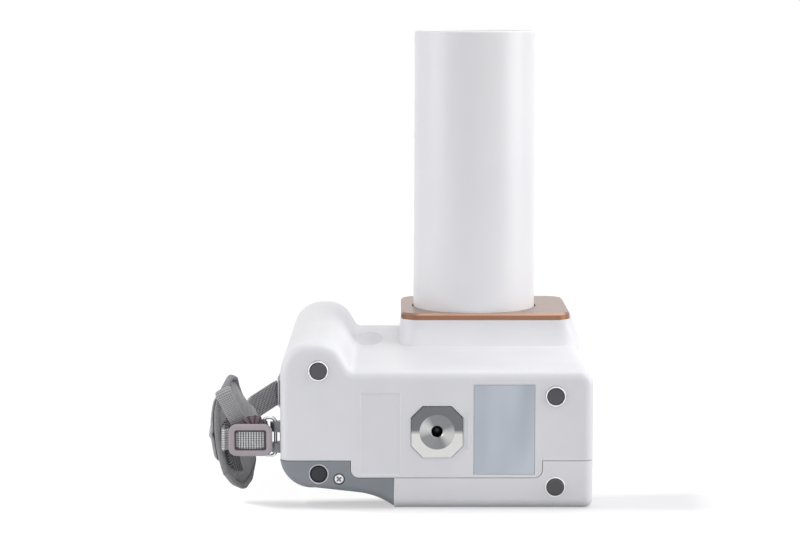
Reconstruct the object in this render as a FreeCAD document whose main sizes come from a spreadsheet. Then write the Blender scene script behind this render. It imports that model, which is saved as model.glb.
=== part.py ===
import FreeCAD, Part
import math
import os
import re
import Sketcher
from FreeCAD import Vector

# A hand-held dental x-ray unit, shaped like a camera. It rests on its rear face
# with its cone upright. The origin is on the floor under the cone's axis, +Z is
# along the cone, -Y is the side of the unit that its feet and tripod plate are on,
# and the grip and its hand strap are at -X. Lengths are in millimetres.

SIZES = (
    # alias, value, what it measures
    ("body_left", 100.5, "left wall, from the cone's axis"),
    ("body_right", 56.2, "right wall, from the cone's axis"),
    ("body_near", 121.0, "underside, from the cone's axis"),
    ("body_far", 43.0, "top side, from the cone's axis"),
    ("front_face", 69.9, "front face above the floor"),
    ("near_round", 4.8, "rounding round the underside"),
    ("far_round", 5.0, "rounding round the top side"),
    ("crest_top", 83.6, "grip's crest above the floor"),
    ("crest_right", 72.9, "crest's right shoulder, from the cone's axis"),
    ("crest_foot", 64.7, "foot of the crest on the front face"),
    ("crest_round", 14.5, "rounding of the crest's right shoulder"),
    ("crest_left_round", 16.0, "rounding of the crest's left shoulder"),
    ("crest_foot_round", 4.0, "hollow rounding at the crest's foot"),
    ("side_round", 7.0, "rounding of the front face's right edge"),
    ("side_seam", 24.5, "seam between front and rear shells, at the sides"),
    ("tongue_seam", 15.8, "the same seam, along the front shell's tongue"),
    ("tongue_left", 65.1, "tongue's left edge, from the cone's axis"),
    ("tongue_right", 30.6, "tongue's right edge, from the cone's axis"),
    ("tongue_round", 4.0, "rounding of the tongue's corners"),
    ("seam_gap", 0.25, "gap along a seam between two shells"),
    ("cavity_left", 36.0, "tube head's room, left of the cone's axis"),
    ("cavity_right", 46.0, "tube head's room, right of the cone's axis"),
    ("cavity_near", 92.0, "tube head's room, towards the underside"),
    ("cavity_far", 34.0, "tube head's room, towards the top side"),
    ("cavity_top", 66.0, "top of the tube head's room"),
    ("cavity_gap", 1.0, "room round the tube head"),
    ("head_base", 16.0, "tube head's underside above the floor"),
    ("boss_flare_left", 2.0, "spread of the boss's foot to the left"),
    ("boss_flare_right", 4.8, "spread of the boss's foot to the right"),
    ("boss_flare_near", 6.0, "spread of the boss's foot towards the underside"),
    ("boss_flare_far", 2.0, "spread of the boss's foot towards the top side"),
    ("boss_root", 3.0, "depth of the boss's foot in the front shell"),
    ("scoop_x", 57.5, "finger scoop, left of the cone's axis"),
    ("scoop_y", 12.0, "finger scoop, towards the underside"),
    ("scoop_length", 76.0, "finger scoop's length"),
    ("scoop_width", 9.0, "finger scoop's radius at its middle"),
    ("scoop_lift", 5.0, "height of the scoop's axis over the front face"),
    ("boss_top", 83.2, "top of the boss above the floor"),
    ("plate_left", 40.0, "trim plate's left side"),
    ("plate_right", 51.0, "trim plate's right side"),
    ("plate_near", 35.0, "trim plate's near side"),
    ("plate_far", 39.6, "trim plate's far side"),
    ("plate_thick", 3.5, "trim plate's thickness"),
    ("plate_corner", 10.0, "trim plate's corner radius"),
    ("plate_bevel", 1.0, "bevel of the trim plate's upper edge"),
    ("cone_foot_radius", 33.2, "cone's outer radius at the trim plate"),
    ("cone_tip_radius", 32.5, "cone's outer radius at its tip"),
    ("cone_tip", 237.0, "cone's tip above the floor"),
    ("cone_wall", 2.6, "cone's wall"),
    ("cone_bevel", 0.65, "bevel of the cone's tip"),
    ("cone_collar", 20.0, "straight length at the cone's tip"),
    ("cone_gap", 0.2, "gap between the cone and its seat"),
    ("cone_seat", 5.0, "depth of the cone in the boss"),
    ("window_thick", 2.0, "aperture disc's thickness"),
    ("window_radius", 12.0, "aperture in its disc"),
    ("foot_radius", 4.2, "rubber foot's radius"),
    ("well_radius", 4.45, "radius of the well round a foot"),
    ("well_depth", 1.8, "depth of that well"),
    ("well_ring", 0.8, "width of the slope round a well"),
    ("well_step", 0.7, "depth of that slope"),
    ("foot_height", 2.6, "a foot's height over its well's floor"),
    ("foot_sunk", 1.3, "how much shorter the grip's lower foot is"),
    ("foot_edge", 0.5, "bevel of a foot's edge"),
    ("feet_right", 37.2, "right feet, from the cone's axis"),
    ("feet_left", 81.2, "grip's feet, from the cone's axis"),
    ("foot_grip_front_z", 69.8, "height of the grip's upper foot"),
    ("foot_grip_rear_z", 17.6, "height of the grip's lower foot"),
    ("foot_right_front_z", 57.0, "height of the upper right foot"),
    ("foot_right_rear_z", 11.0, "height of the lower right foot"),
    ("tripod_x", 22.0, "tripod thread, left of the cone's axis"),
    ("tripod_z", 39.0, "tripod thread above the floor"),
    ("tripod_width", 25.7, "tripod plate across its flats"),
    ("tripod_bevel", 5.8, "cut of the tripod plate's corners"),
    ("tripod_thick", 4.5, "tripod plate's thickness"),
    ("tripod_proud", 0.5, "tripod plate's face out of the underside"),
    ("tripod_dish", 8.75, "radius of the turned dish in the plate"),
    ("tripod_dish_rim", 0.3, "depth of the dish at its rim"),
    ("tripod_dish_depth", 0.9, "depth of the dish at the thread"),
    ("thread_mouth", 0.6, "bevel of the thread's mouth"),
    ("thread_radius", 2.6, "wall of the 1/4 inch thread's hole"),
    ("thread_room", 6.0, "free depth behind the tripod plate"),
    ("thread_room_radius", 3.6, "radius of that free depth"),
    ("fit_gap", 0.2, "gap round a plate in its recess"),
    ("label_left", 3.5, "label plate, left of the cone's axis"),
    ("label_right", 26.7, "label plate, right of the cone's axis"),
    ("label_base", 17.7, "label plate's lower edge"),
    ("label_top", 62.7, "label plate's upper edge"),
    ("label_thick", 0.5, "label plate's thickness"),
    ("rib_x", 6.0, "small rib, left of the cone's axis"),
    ("rib_width", 1.6, "the rib's width"),
    ("rib_flat", 0.1, "half of the straight part at a rib's end"),
    ("rib_base", 30.3, "the rib's lower end"),
    ("rib_top", 48.6, "the rib's upper end"),
    ("rib_proud", 0.7, "the rib's height"),
    ("panel_left", 60.4, "shallow panel's left edge, from the cone's axis"),
    ("panel_right", 40.0, "shallow panel's right edge, from the cone's axis"),
    ("panel_base", 17.0, "shallow panel's lower edge"),
    ("panel_top", 58.7, "shallow panel's upper edge"),
    ("panel_depth", 0.5, "shallow panel's depth"),
    ("panel_bevel", 0.6, "width of the slope round the shallow panel"),
    ("cover_right", 43.3, "grip cover's edge on the rear shell"),
    ("cover_round", 3.5, "rounding of the cover round the underside"),
    ("cover_low", 0.8, "grip cover's lowest edge above the floor"),
    ("sweep_side", 5.0, "cover's upper sweep, middle point in from the left wall"),
    ("sweep_rise", 4.3, "height of that point over the sweep's lower end"),
    ("dip_side", 7.0, "cover's lower sweep, middle point left of the cover's edge"),
    ("dip_rise", 3.9, "height of that point over the cover's lowest line"),
    ("cover_bend_x", 60.0, "where the cover's sweep levels out"),
    ("cover_bend_z", 7.6, "height of the cover there"),
    ("cover_flat_x", 83.0, "where the cover starts to round up"),
    ("cover_flat_z", 10.2, "height of the cover there"),
    ("rear_round", 4.0, "rounding of the rear shell's right edge"),
    ("screen_left", 24.0, "display, left of the cone's axis"),
    ("screen_right", 34.0, "display, right of the cone's axis"),
    ("screen_near", 4.0, "display's lower edge, above the cone's axis"),
    ("screen_far", 36.0, "display's upper edge, above the cone's axis"),
    ("screen_depth", 1.6, "depth of the display's recess"),
    ("screen_thick", 1.0, "display window's thickness"),
    ("keypad_near", 36.0, "keypad's lower edge, below the cone's axis"),
    ("keypad_far", 8.0, "keypad's upper edge, below the cone's axis"),
    ("keypad_thick", 0.8, "keypad's thickness"),
    ("key_radius", 4.2, "a key's radius"),
    ("key_height", 0.5, "a key's height on the keypad"),
    ("key_pitch", 11.6, "from one key to the next"),
    ("key_first", 18.2, "first key, left of the cone's axis"),
    ("key_count", 5.0, "keys in the row"),
    ("button_x", 81.0, "exposure button, left of the cone's axis"),
    ("button_z", 50.0, "exposure button above the floor"),
    ("button_radius", 6.5, "exposure button's radius"),
    ("button_seat", 2.0, "depth of the exposure button's well"),
    ("button_height", 3.4, "exposure button's height in its well"),
    ("port_near", 20.0, "port cover, towards the underside"),
    ("port_length", 18.0, "port cover's length"),
    ("port_base", 34.0, "port cover's lower edge"),
    ("port_height", 10.0, "port cover's height"),
    ("port_depth", 1.4, "depth of the port cover's recess"),
    ("port_thick", 1.6, "port cover's thickness"),
    ("strap_z", 34.0, "middle of the strap above the floor"),
    ("ring_near_inset", 14.0, "near ring, in from the underside"),
    ("ring_far_inset", 15.0, "far ring, in from the top side"),
    ("wire_radius", 0.9, "radius of the rings' wire"),
    ("ring_reach", 6.0, "from a ring's inner bar to its outer bar"),
    ("ring_half", 9.75, "half of a ring's height, at the wire's axis"),
    ("ring_corner", 2.4, "a ring's corner radius, at the wire's axis"),
    ("lug_radius", 2.6, "radius of a lug's knuckle"),
    ("lug_stand", 2.9, "a knuckle's axis out of the left wall"),
    ("lug_half", 8.0, "half of a knuckle's length"),
    ("lug_gap", 0.3, "gap between a lug's hole and the wire"),
    ("web_width", 12.0, "webbing's width"),
    ("web_thick", 1.4, "webbing's thickness"),
    ("web_bend", 2.8, "length of the slope where the near webbing turns"),
    ("web_bend_in", 3.64, "the same on its inner face, from the outer one"),
    ("web_gap", 0.3, "gap between the webbing's loop and the wire"),
    ("pad_near_inset", 12.0, "strap pad's near end, in from the underside"),
    ("pad_far_inset", 38.0, "strap pad's far end, in from the top side"),
    ("pad_top", 63.0, "strap pad's upper edge above the floor"),
    ("pad_base", 3.0, "strap pad's lower edge above the floor"),
    ("pad_top_x", 131.5, "strap pad's upper edge, from the cone's axis"),
    ("pad_base_x", 119.0, "strap pad's lower edge, from the cone's axis"),
    ("pad_reach", 136.5, "strap pad's outermost line, from the cone's axis"),
    ("pad_thick", 6.0, "strap pad's thickness"),
    ("pad_slant", 6.0, "how far the pad's far end is nearer to the grip"),
    ("pad_corner", 13.0, "radius of the strap pad's near corners"),
    ("pad_taper", 46.0, "length over which the pad narrows to its far end"),
    ("pad_fall", 9.0, "how far the upper edge falls before that"),
    ("pad_rise", 6.0, "how far the lower edge rises before that"),
    ("pad_bulge", 0.32, "share of its fall that an edge makes in the taper's first part"),
    ("pad_bulge_at", 0.6, "share of the taper that this part is long"),
    ("far_bend", 0.74, "share of the way to the pad where the far webbing bends"),
    ("pad_tip", 8.0, "half of the pad's width at its far end"),
    ("pad_spare", 1.0, "how far the cuts that shape the pad reach past it"),
    ("buckle_inset", 6.4, "buckle's back, in from the underside"),
    ("buckle_right", 104.5, "buckle's right side, from the cone's axis"),
    ("buckle_width", 22.0, "buckle's width"),
    ("buckle_height", 16.2, "buckle's height"),
    ("buckle_thick", 3.0, "buckle's thickness"),
    ("fold_depth", 0.8, "webbing's fold, in from the buckle's face"),
    ("buckle_rim", 3.4, "width of the buckle's frame"),
    ("buckle_corner", 3.6, "buckle's corner radius"),
)

doc = FreeCAD.newDocument("portable_xray")
sheet = doc.addObject("Spreadsheet::Sheet", "sizes")
for row, (alias, value, note) in enumerate(SIZES, start=1):
    sheet.set(f"A{row}", note)
    sheet.set(f"B{row}", str(value))
    sheet.setAlias(f"B{row}", alias)
doc.recompute()

PLATE_TOP = "boss_top + plate_thick"
CONE_BASE = "boss_top - cone_seat"
WELL_FLOOR = "-body_near + well_depth"
KNUCKLE_X = "-(body_left + lug_stand)"
BAR_X = "-(body_left + lug_stand + ring_reach)"
NEAR_RING_Y = "(ring_near_inset - body_near)"
FAR_RING_Y = "(body_far - ring_far_inset)"
WEB_FRONT = "(buckle_inset - body_near)"
LOOP_RADIUS = "(wire_radius + web_gap + web_thick)"
BAR_ROOM = "(wire_radius + web_gap)"
TAIL_X = "(pad_thick - pad_reach - web_thick)"
FAR_TAIL_X = "(pad_thick - pad_reach - web_thick + pad_slant)"
PAD_NEAR = "(pad_near_inset - body_near)"
PAD_FAR = "(body_far - pad_far_inset)"
FAR_SLOPE = f"(far_bend * ({FAR_RING_Y} - {PAD_FAR}) / ({BAR_X} - {FAR_TAIL_X}))"
PAD_MIDDLE = "(pad_top + pad_base) / 2"
TOLERANCE = 0.01


def sized(text):
    """The expression with each alias looked up in the sheet."""
    return re.sub(r"\b([a-z]+_[a-z_]+)\b", r"sizes.\1", text)


def number(text):
    """The present value of an expression over the sheet's aliases."""
    return float(sheet.evalExpression(text))


def bind(item, name, text):
    """Binds one property of an object to an expression."""
    item.setExpression(name, sized(text))


def new_body(label):
    """A sub-part: one body with its own label."""
    body = doc.addObject("PartDesign::Body", label)
    body.Label = label
    return body


def new_sketch(body, role, height="0"):
    """A sketch on one of the body's origin planes, moved along its axis."""
    sketch = body.newObject("Sketcher::SketchObject", body.Label + "_sketch")
    plane = next(item for item in body.Origin.OriginFeatures if item.Role == role)
    sketch.AttachmentSupport = [(plane, "")]
    sketch.MapMode = "FlatFace"
    along = f"-({height})" if role == "XZ_Plane" else height
    bind(sketch, "AttachmentOffset.Base.z", along)
    return sketch


def pin(sketch, item, end, x, y):
    """Holds one point of a sketch at two expressions from its origin."""
    for kind, text in (("DistanceX", x), ("DistanceY", y)):
        place = number(text)
        index = sketch.addConstraint(Sketcher.Constraint(kind, -1, 1, item, end, place))
        bind(sketch, f"Constraints[{index}]", text)


def arc_through(start, middle, end):
    """The arc from start by middle to end, and whether it runs clockwise."""
    circle = Part.Circle(start, middle, end)
    circle = Part.Circle(circle.Center, Vector(0, 0, 1), circle.Radius)
    clockwise = (middle - start).cross(end - middle).z < 0
    first, last = (end, start) if clockwise else (start, end)
    begin = circle.parameter(first)
    finish = circle.parameter(last)
    if finish <= begin:
        finish += 2 * math.pi
    return Part.ArcOfCircle(circle, begin, finish), clockwise


def outline(sketch, corners):
    """A closed outline. Each entry is the end of a side, x and y, and a side that
    is an arc has a point on that arc too: x, y, arc x, arc y."""
    ends = [Vector(number(row[0]), number(row[1]), 0) for row in corners]
    joints = []
    for index, row in enumerate(corners):
        turned = False
        side = None
        if len(row) == 4:
            middle = Vector(number(row[2]), number(row[3]), 0)
            side, turned = arc_through(ends[index - 1], middle, ends[index])
        else:
            side = Part.LineSegment(ends[index - 1], ends[index])
        joints.append((sketch.addGeometry(side), 1 if turned else 2, 2 if turned else 1))
    for index, row in enumerate(corners):
        item, end, _ = joints[index]
        other, _, begin = joints[(index + 1) % len(corners)]
        sketch.addConstraint(Sketcher.Constraint("Coincident", item, end, other, begin))
        pin(sketch, item, end, row[0], row[1])
        if len(row) == 4:
            point = Vector(number(row[2]), number(row[3]), 0)
            mark = sketch.addGeometry(Part.Point(point), True)
            sketch.addConstraint(Sketcher.Constraint("PointOnObject", mark, 1, item))
            pin(sketch, mark, 1, row[2], row[3])


def rectangle(sketch, left, right, low, high):
    """A rectangle between four expressions."""
    outline(sketch, ((right, low), (right, high), (left, high), (left, low)))


def rounded(sketch, left, right, low, high, corner):
    """A rectangle with round corners, between four expressions."""
    x0, x1, y0, y1, r = (number(text) for text in (left, right, low, high, corner))
    sides = (
        (x0 + r, y0, x1 - r, y0), (x1, y0 + r, x1, y1 - r),
        (x1 - r, y1, x0 + r, y1), (x0, y1 - r, x0, y0 + r),
    )
    centres = ((x1 - r, y0 + r, 270), (x1 - r, y1 - r, 0), (x0 + r, y1 - r, 90), (x0 + r, y0 + r, 180))
    lines = []
    arcs = []
    for (ax, ay, bx, by), (cx, cy, start) in zip(sides, centres):
        lines.append(sketch.addGeometry(Part.LineSegment(Vector(ax, ay, 0), Vector(bx, by, 0))))
        circle = Part.Circle(Vector(cx, cy, 0), Vector(0, 0, 1), r)
        begin = math.radians(start)
        arcs.append(sketch.addGeometry(Part.ArcOfCircle(circle, begin, begin + math.pi / 2)))
    for index in range(4):
        sketch.addConstraint(Sketcher.Constraint("Tangent", lines[index], 2, arcs[index], 1))
        following = lines[(index + 1) % 4]
        sketch.addConstraint(Sketcher.Constraint("Tangent", arcs[index], 2, following, 1))
        level = "Horizontal" if index % 2 == 0 else "Vertical"
        sketch.addConstraint(Sketcher.Constraint(level, lines[index]))
    for arc in arcs[1:]:
        sketch.addConstraint(Sketcher.Constraint("Equal", arcs[0], arc))
    size = sketch.addConstraint(Sketcher.Constraint("Radius", arcs[0], r))
    bind(sketch, f"Constraints[{size}]", corner)
    for kind, line, text in (
        ("DistanceY", lines[0], low), ("DistanceX", lines[1], right),
        ("DistanceY", lines[2], high), ("DistanceX", lines[3], left),
    ):
        place = number(text)
        index = sketch.addConstraint(Sketcher.Constraint(kind, -1, 1, line, 1, place))
        bind(sketch, f"Constraints[{index}]", text)


def disc(sketch, x, y, radius):
    """A circle at two expressions."""
    centre = Vector(number(x), number(y), 0)
    item = sketch.addGeometry(Part.Circle(centre, Vector(0, 0, 1), number(radius)))
    pin(sketch, item, 3, x, y)
    index = sketch.addConstraint(Sketcher.Constraint("Radius", item, number(radius)))
    bind(sketch, f"Constraints[{index}]", radius)


def volume(body):
    """The body's present volume."""
    return body.Shape.Volume if body.Tip and not body.Shape.isNull() else 0.0


def grow(body, kind, sketch, length, back=False):
    """A pad or a pocket of the sketch. Back turns it against the plane's axis."""
    before = volume(body)
    feature = body.newObject(f"PartDesign::{kind}", f"{body.Label}_{kind.lower()}")
    feature.Profile = sketch
    bind(feature, "Length", length)
    feature.Reversed = back
    doc.recompute()
    gain = volume(body) - before
    if gain * (1 if kind == "Pad" else -1) <= 0:
        raise ValueError(f"{feature.Name} changes nothing")
    return feature


def pad(body, sketch, length, back=False):
    """Adds the sketch's sweep along its plane's axis."""
    return grow(body, "Pad", sketch, length, back)


def pocket(body, sketch, length, back=False):
    """Cuts the sketch's sweep against its plane's axis."""
    return grow(body, "Pocket", sketch, length, back)


def turn(body, sketch):
    """Revolves the sketch about its vertical axis."""
    feature = body.newObject("PartDesign::Revolution", body.Label + "_turned")
    feature.Profile = sketch
    feature.ReferenceAxis = (sketch, ["V_Axis"])
    feature.Angle = 360.0
    doc.recompute()
    return feature


def groove(body, sketch, name):
    """Cuts the sketch, revolved about its vertical axis, out of the body."""
    before = volume(body)
    feature = body.newObject("PartDesign::Groove", name)
    feature.Profile = sketch
    feature.ReferenceAxis = (sketch, ["V_Axis"])
    feature.Angle = 360.0
    doc.recompute()
    if volume(body) >= before:
        raise ValueError(f"{name} cuts nothing")


def edges_in(shape, x=None, y=None, z=None):
    """Names of the edges that lie in each plane given."""
    names = []
    for index, edge in enumerate(shape.Edges, start=1):
        box = edge.BoundBox
        spans = ((x, box.XMin, box.XMax), (y, box.YMin, box.YMax), (z, box.ZMin, box.ZMax))
        inside = all(
            place is None or (abs(low - place) < TOLERANCE and abs(high - place) < TOLERANCE)
            for place, low, high in spans
        )
        if inside:
            names.append(f"Edge{index}")
    return names


def soften(body, names, radius, kind="Fillet"):
    """Rounds or bevels the named edges of the body as it stands."""
    if not names:
        raise ValueError(f"{body.Label} has no edge to soften")
    base = body.Tip
    feature = body.newObject(f"PartDesign::{kind}", f"{body.Label}_{kind.lower()}")
    feature.Base = (base, names)
    bind(feature, "Radius" if kind == "Fillet" else "Size", radius)
    doc.recompute()
    return feature


def soften_at(body, radius, *places, kind="Fillet"):
    """Rounds the edges at each place, given as planes by axis name."""
    names = []
    for place in places:
        planes = {axis: number(text) for axis, text in place.items()}
        names += edges_in(body.Shape, **planes)
    return soften(body, names, radius, kind)


def rim_names(body, y, above):
    """The edges of the face at y that lie above a height."""
    names = []
    for name in edges_in(body.Shape, y=number(y)):
        edge = body.Shape.getElement(name)
        if edge.BoundBox.Center.z > number(above) + TOLERANCE:
            names.append(name)
    return names


def front_shell():
    """The front shell's profile, seen from the underside, swept along Y: the
    walls, the grip's crest and the tongue that reaches down over the rear shell."""
    body = new_body("front_housing")
    sketch = new_sketch(body, "XZ_Plane", "-body_near")
    outline(sketch, (
        ("-body_left", "side_seam"),
        ("-body_left", "crest_top"),
        ("-crest_right", "crest_top"),
        ("-crest_foot", "front_face"),
        ("body_right", "front_face"),
        ("body_right", "side_seam"),
        ("tongue_right", "side_seam"),
        ("tongue_right", "tongue_seam"),
        ("-tongue_left", "tongue_seam"),
        ("-tongue_left", "side_seam"),
    ))
    pad(body, sketch, "body_near + body_far", back=True)
    soften_at(body, "crest_left_round", {"x": "-body_left", "z": "crest_top"})
    soften_at(body, "crest_round", {"x": "-crest_right", "z": "crest_top"})
    soften_at(body, "crest_foot_round", {"x": "-crest_foot", "z": "front_face"})
    soften_at(body, "side_round", {"x": "body_right", "z": "front_face"})
    soften_at(body, "tongue_round", {"x": "tongue_right", "z": "tongue_seam"},
              {"x": "-tongue_left", "z": "tongue_seam"})
    soften(body, rim_names(body, "-body_near", "side_seam"), "near_round")
    soften(body, rim_names(body, "body_far", "side_seam"), "far_round")
    return body


BOSS_SECTIONS = (
    # share of the boss's height, share of its flare, the same for the right side
    (0.17, 0.36, 0.95),
    (0.42, 0.1, 0.79),
    (1.0, 0.0, 0.28),
)


def boss_section(body, height, flare, flare_right):
    """One level outline of the boss, spread by a share of its flare. Its right side
    goes on up from the right wall, so it has its own share."""
    sketch = new_sketch(body, "XY_Plane", height)
    rounded(sketch, f"-plate_left - boss_flare_left * {flare}",
            f"plate_right + boss_flare_right * {flare_right}",
            f"-plate_near - boss_flare_near * {flare}",
            f"plate_far + boss_flare_far * {flare}", "plate_corner")
    return sketch


def add_boss(body):
    """The boss under the cone: it spreads in a hollow curve down to the front
    face and has the cone's seat bored in its top."""
    foot = boss_section(body, "front_face - boss_root", 1.0, 1.0)
    upper = [boss_section(body, f"front_face + (boss_top - front_face) * {share}", flare, right)
             for share, flare, right in BOSS_SECTIONS]
    loft = body.newObject("PartDesign::AdditiveLoft", "boss")
    loft.Profile = foot
    loft.Sections = [(sketch, [""]) for sketch in upper]
    doc.recompute()
    seat = new_sketch(body, "XY_Plane", "boss_top")
    disc(seat, "0", "0", "cone_foot_radius + cone_gap")
    pocket(body, seat, "cone_seat")


def add_scoop(body):
    """The finger scoop beside the grip: a spindle, its axis along Y over the front
    face, cut away from the shell."""
    sketch = new_sketch(body, "XY_Plane", "front_face + scoop_lift")
    bind(sketch, "AttachmentOffset.Base.x", "-scoop_x")
    bind(sketch, "AttachmentOffset.Base.y", "-scoop_y")
    outline(sketch, (
        ("0", "scoop_length / 2", "scoop_width", "0"),
        ("0", "-scoop_length / 2"),
    ))
    groove(body, sketch, "scoop")


def add_cavity(body, start, depth, back):
    """The tube head's room, or this shell's share of it."""
    sketch = new_sketch(body, "XY_Plane", start)
    rectangle(sketch, "-cavity_left", "cavity_right", "-cavity_near", "cavity_far")
    pocket(body, sketch, depth, back)


FEET = (
    # node, x, height above the floor, how much shorter, housing that it stands in
    ("foot_grip_front", "-feet_left", "foot_grip_front_z", "0", "front_housing"),
    ("foot_grip_rear", "-feet_left", "foot_grip_rear_z", "foot_sunk", "grip_cover"),
    ("foot_right_front", "feet_right", "foot_right_front_z", "0", "front_housing"),
    ("foot_right_rear", "feet_right", "foot_right_rear_z", "0", "rear_housing"),
)


def taper(cut, width, depth):
    """Lets a cut narrow by a width over a depth."""
    bind(cut, "TaperAngle", f"-atan({width} / {depth})")
    doc.recompute()


def add_wells(body):
    """The wells for those feet that stand in this housing, each with a sloped rim."""
    for _, x, z, _, housing in FEET:
        if housing == body.Label:
            well = new_sketch(body, "XZ_Plane", "-body_near")
            disc(well, x, z, "well_radius")
            pocket(body, well, "well_depth")
            rim = new_sketch(body, "XZ_Plane", "-body_near")
            disc(rim, x, z, "well_radius + well_ring")
            taper(pocket(body, rim, "well_step"), "well_ring", "well_step")


def octagon(sketch, half, bevel):
    """The tripod plate's outline: a square with its corners cut."""
    x = "-tripod_x"
    z = "tripod_z"
    near = f"({half} - {bevel})"
    outline(sketch, (
        (f"{x} + {near}", f"{z} - {half}"), (f"{x} + {half}", f"{z} - {near}"),
        (f"{x} + {half}", f"{z} + {near}"), (f"{x} + {near}", f"{z} + {half}"),
        (f"{x} - {near}", f"{z} + {half}"), (f"{x} - {half}", f"{z} + {near}"),
        (f"{x} - {half}", f"{z} - {near}"), (f"{x} - {near}", f"{z} - {half}"),
    ))


def add_underside_recesses(body):
    """The recesses for the tripod plate and the label plate."""
    sketch = new_sketch(body, "XZ_Plane", "-body_near")
    octagon(sketch, "(tripod_width / 2 + fit_gap)", "tripod_bevel")
    pocket(body, sketch, "tripod_thick - tripod_proud")
    room = new_sketch(body, "XZ_Plane", "-body_near + tripod_thick - tripod_proud")
    disc(room, "-tripod_x", "tripod_z", "thread_room_radius")
    pocket(body, room, "thread_room")
    label = new_sketch(body, "XZ_Plane", "-body_near")
    rectangle(label, "-label_left - fit_gap", "label_right + fit_gap",
              "label_base - fit_gap", "label_top + fit_gap")
    pocket(body, label, "label_thick")
    panel = new_sketch(body, "XZ_Plane", "-body_near")
    rectangle(panel, "-panel_left", "-panel_right", "panel_base", "panel_top")
    taper(pocket(body, panel, "panel_depth"), "panel_bevel", "panel_depth")
    rib = new_sketch(body, "XZ_Plane", "-body_near")
    rounded(rib, "-rib_x - rib_width / 2", "-rib_x + rib_width / 2", "rib_base", "rib_top",
            "rib_width / 2 - rib_flat")
    pad(body, rib, "rib_proud")


def add_button_well(body):
    """The exposure button's well in the top side, over the grip."""
    sketch = new_sketch(body, "XZ_Plane", "body_far")
    disc(sketch, "-button_x", "button_z", "button_radius + fit_gap")
    pocket(body, sketch, "button_seat", back=True)


def add_port_recess(body):
    """The recess of the charging port's cover in the right wall."""
    sketch = new_sketch(body, "YZ_Plane", "body_right")
    rectangle(sketch, "-port_near - fit_gap", "-port_near + port_length + fit_gap",
              "port_base - fit_gap", "port_base + port_height + fit_gap")
    pocket(body, sketch, "port_depth")


def make_front_housing():
    """The front shell with its boss, wells and recesses."""
    body = front_shell()
    add_scoop(body)
    add_boss(body)
    add_cavity(body, "tongue_seam", "cavity_top - tongue_seam", back=True)
    add_wells(body)
    add_underside_recesses(body)
    add_button_well(body)
    add_port_recess(body)
    return body


def make_rear_housing():
    """The rear shell, whose flat face the unit rests on, with the display's and
    the keypad's recesses in that face."""
    body = new_body("rear_housing")
    sketch = new_sketch(body, "XZ_Plane", "-body_near")
    outline(sketch, (
        ("-cover_right", "0"),
        ("body_right", "0"),
        ("body_right", "side_seam - seam_gap"),
        ("tongue_right + seam_gap", "side_seam - seam_gap"),
        ("tongue_right + seam_gap", "tongue_seam - seam_gap"),
        ("-cover_right", "tongue_seam - seam_gap"),
    ))
    pad(body, sketch, "body_near + body_far", back=True)
    soften_at(body, "tongue_round + seam_gap",
              {"x": "tongue_right + seam_gap", "z": "tongue_seam - seam_gap"})
    soften_at(body, "rear_round", {"x": "body_right", "z": "0"})
    near = [name for name in edges_in(body.Shape, y=number("-body_near"))
            if on_right_wall(body.Shape.getElement(name))]
    soften(body, near, "near_round")
    far = [name for name in edges_in(body.Shape, y=number("body_far"))
           if on_right_wall(body.Shape.getElement(name))]
    soften(body, far, "far_round")
    add_cavity(body, "side_seam", "side_seam - tongue_seam + seam_gap", back=False)
    add_wells(body)
    screen = new_sketch(body, "XY_Plane", "0")
    rectangle(screen, "-screen_left - fit_gap", "screen_right + fit_gap",
              "screen_near - fit_gap", "screen_far + fit_gap")
    pocket(body, screen, "screen_depth", back=True)
    keys = new_sketch(body, "XY_Plane", "0")
    rectangle(keys, "-screen_left - fit_gap", "screen_right + fit_gap",
              "-keypad_near - fit_gap", "-keypad_far + fit_gap")
    pocket(body, keys, "screen_depth", back=True)
    return body


def on_right_wall(edge):
    """Whether the edge is the right wall's, between the floor and the seam."""
    return abs(edge.BoundBox.Center.x - number("body_right")) < TOLERANCE


def make_grip_cover():
    """The soft grip over the left of the rear shell, which sweeps up off the
    floor to the left wall."""
    body = new_body("grip_cover")
    sketch = new_sketch(body, "XZ_Plane", "-body_near")
    outline(sketch, (
        ("-cover_right - seam_gap", "tongue_seam - seam_gap"),
        ("-tongue_left - seam_gap", "tongue_seam - seam_gap"),
        ("-tongue_left - seam_gap", "side_seam - seam_gap"),
        ("-body_left", "side_seam - seam_gap"),
        ("-cover_flat_x", "cover_flat_z", "-body_left + sweep_side", "cover_flat_z + sweep_rise"),
        ("-cover_bend_x", "cover_bend_z"),
        ("-cover_right - seam_gap", "cover_low", "-cover_right - dip_side", "cover_low + dip_rise"),
    ))
    pad(body, sketch, "body_near + body_far", back=True)
    soften_at(body, "tongue_round + seam_gap",
              {"x": "-tongue_left - seam_gap", "z": "tongue_seam - seam_gap"})
    for y, size in (("-body_near", "cover_round"), ("body_far", "far_round")):
        names = [name for name in edges_in(body.Shape, y=number(y))
                 if is_swept(body.Shape.getElement(name))]
        soften(body, names, size)
    add_wells(body)
    return body


def is_swept(edge):
    """Whether the edge is on the cover's outer sweep, from the floor to the seam."""
    return edge.BoundBox.ZMin < number("tongue_seam - seam_gap") - 1 and edge.BoundBox.XLength > 1


def make_trim_plate():
    """The bevelled plate on the boss, bored for the cone."""
    body = new_body("trim_plate")
    sketch = new_sketch(body, "XY_Plane", "boss_top")
    rounded(sketch, "-plate_left", "plate_right", "-plate_near", "plate_far", "plate_corner")
    disc(sketch, "0", "0", "cone_foot_radius + cone_gap")
    pad(body, sketch, "plate_thick")
    top = number(PLATE_TOP)
    names = [name for name in edges_in(body.Shape, z=top)
             if body.Shape.getElement(name).BoundBox.DiagonalLength < 2 * number("plate_right")
             and not is_bore(body.Shape.getElement(name))]
    soften(body, names, "plate_bevel", kind="Chamfer")
    return body


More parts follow.
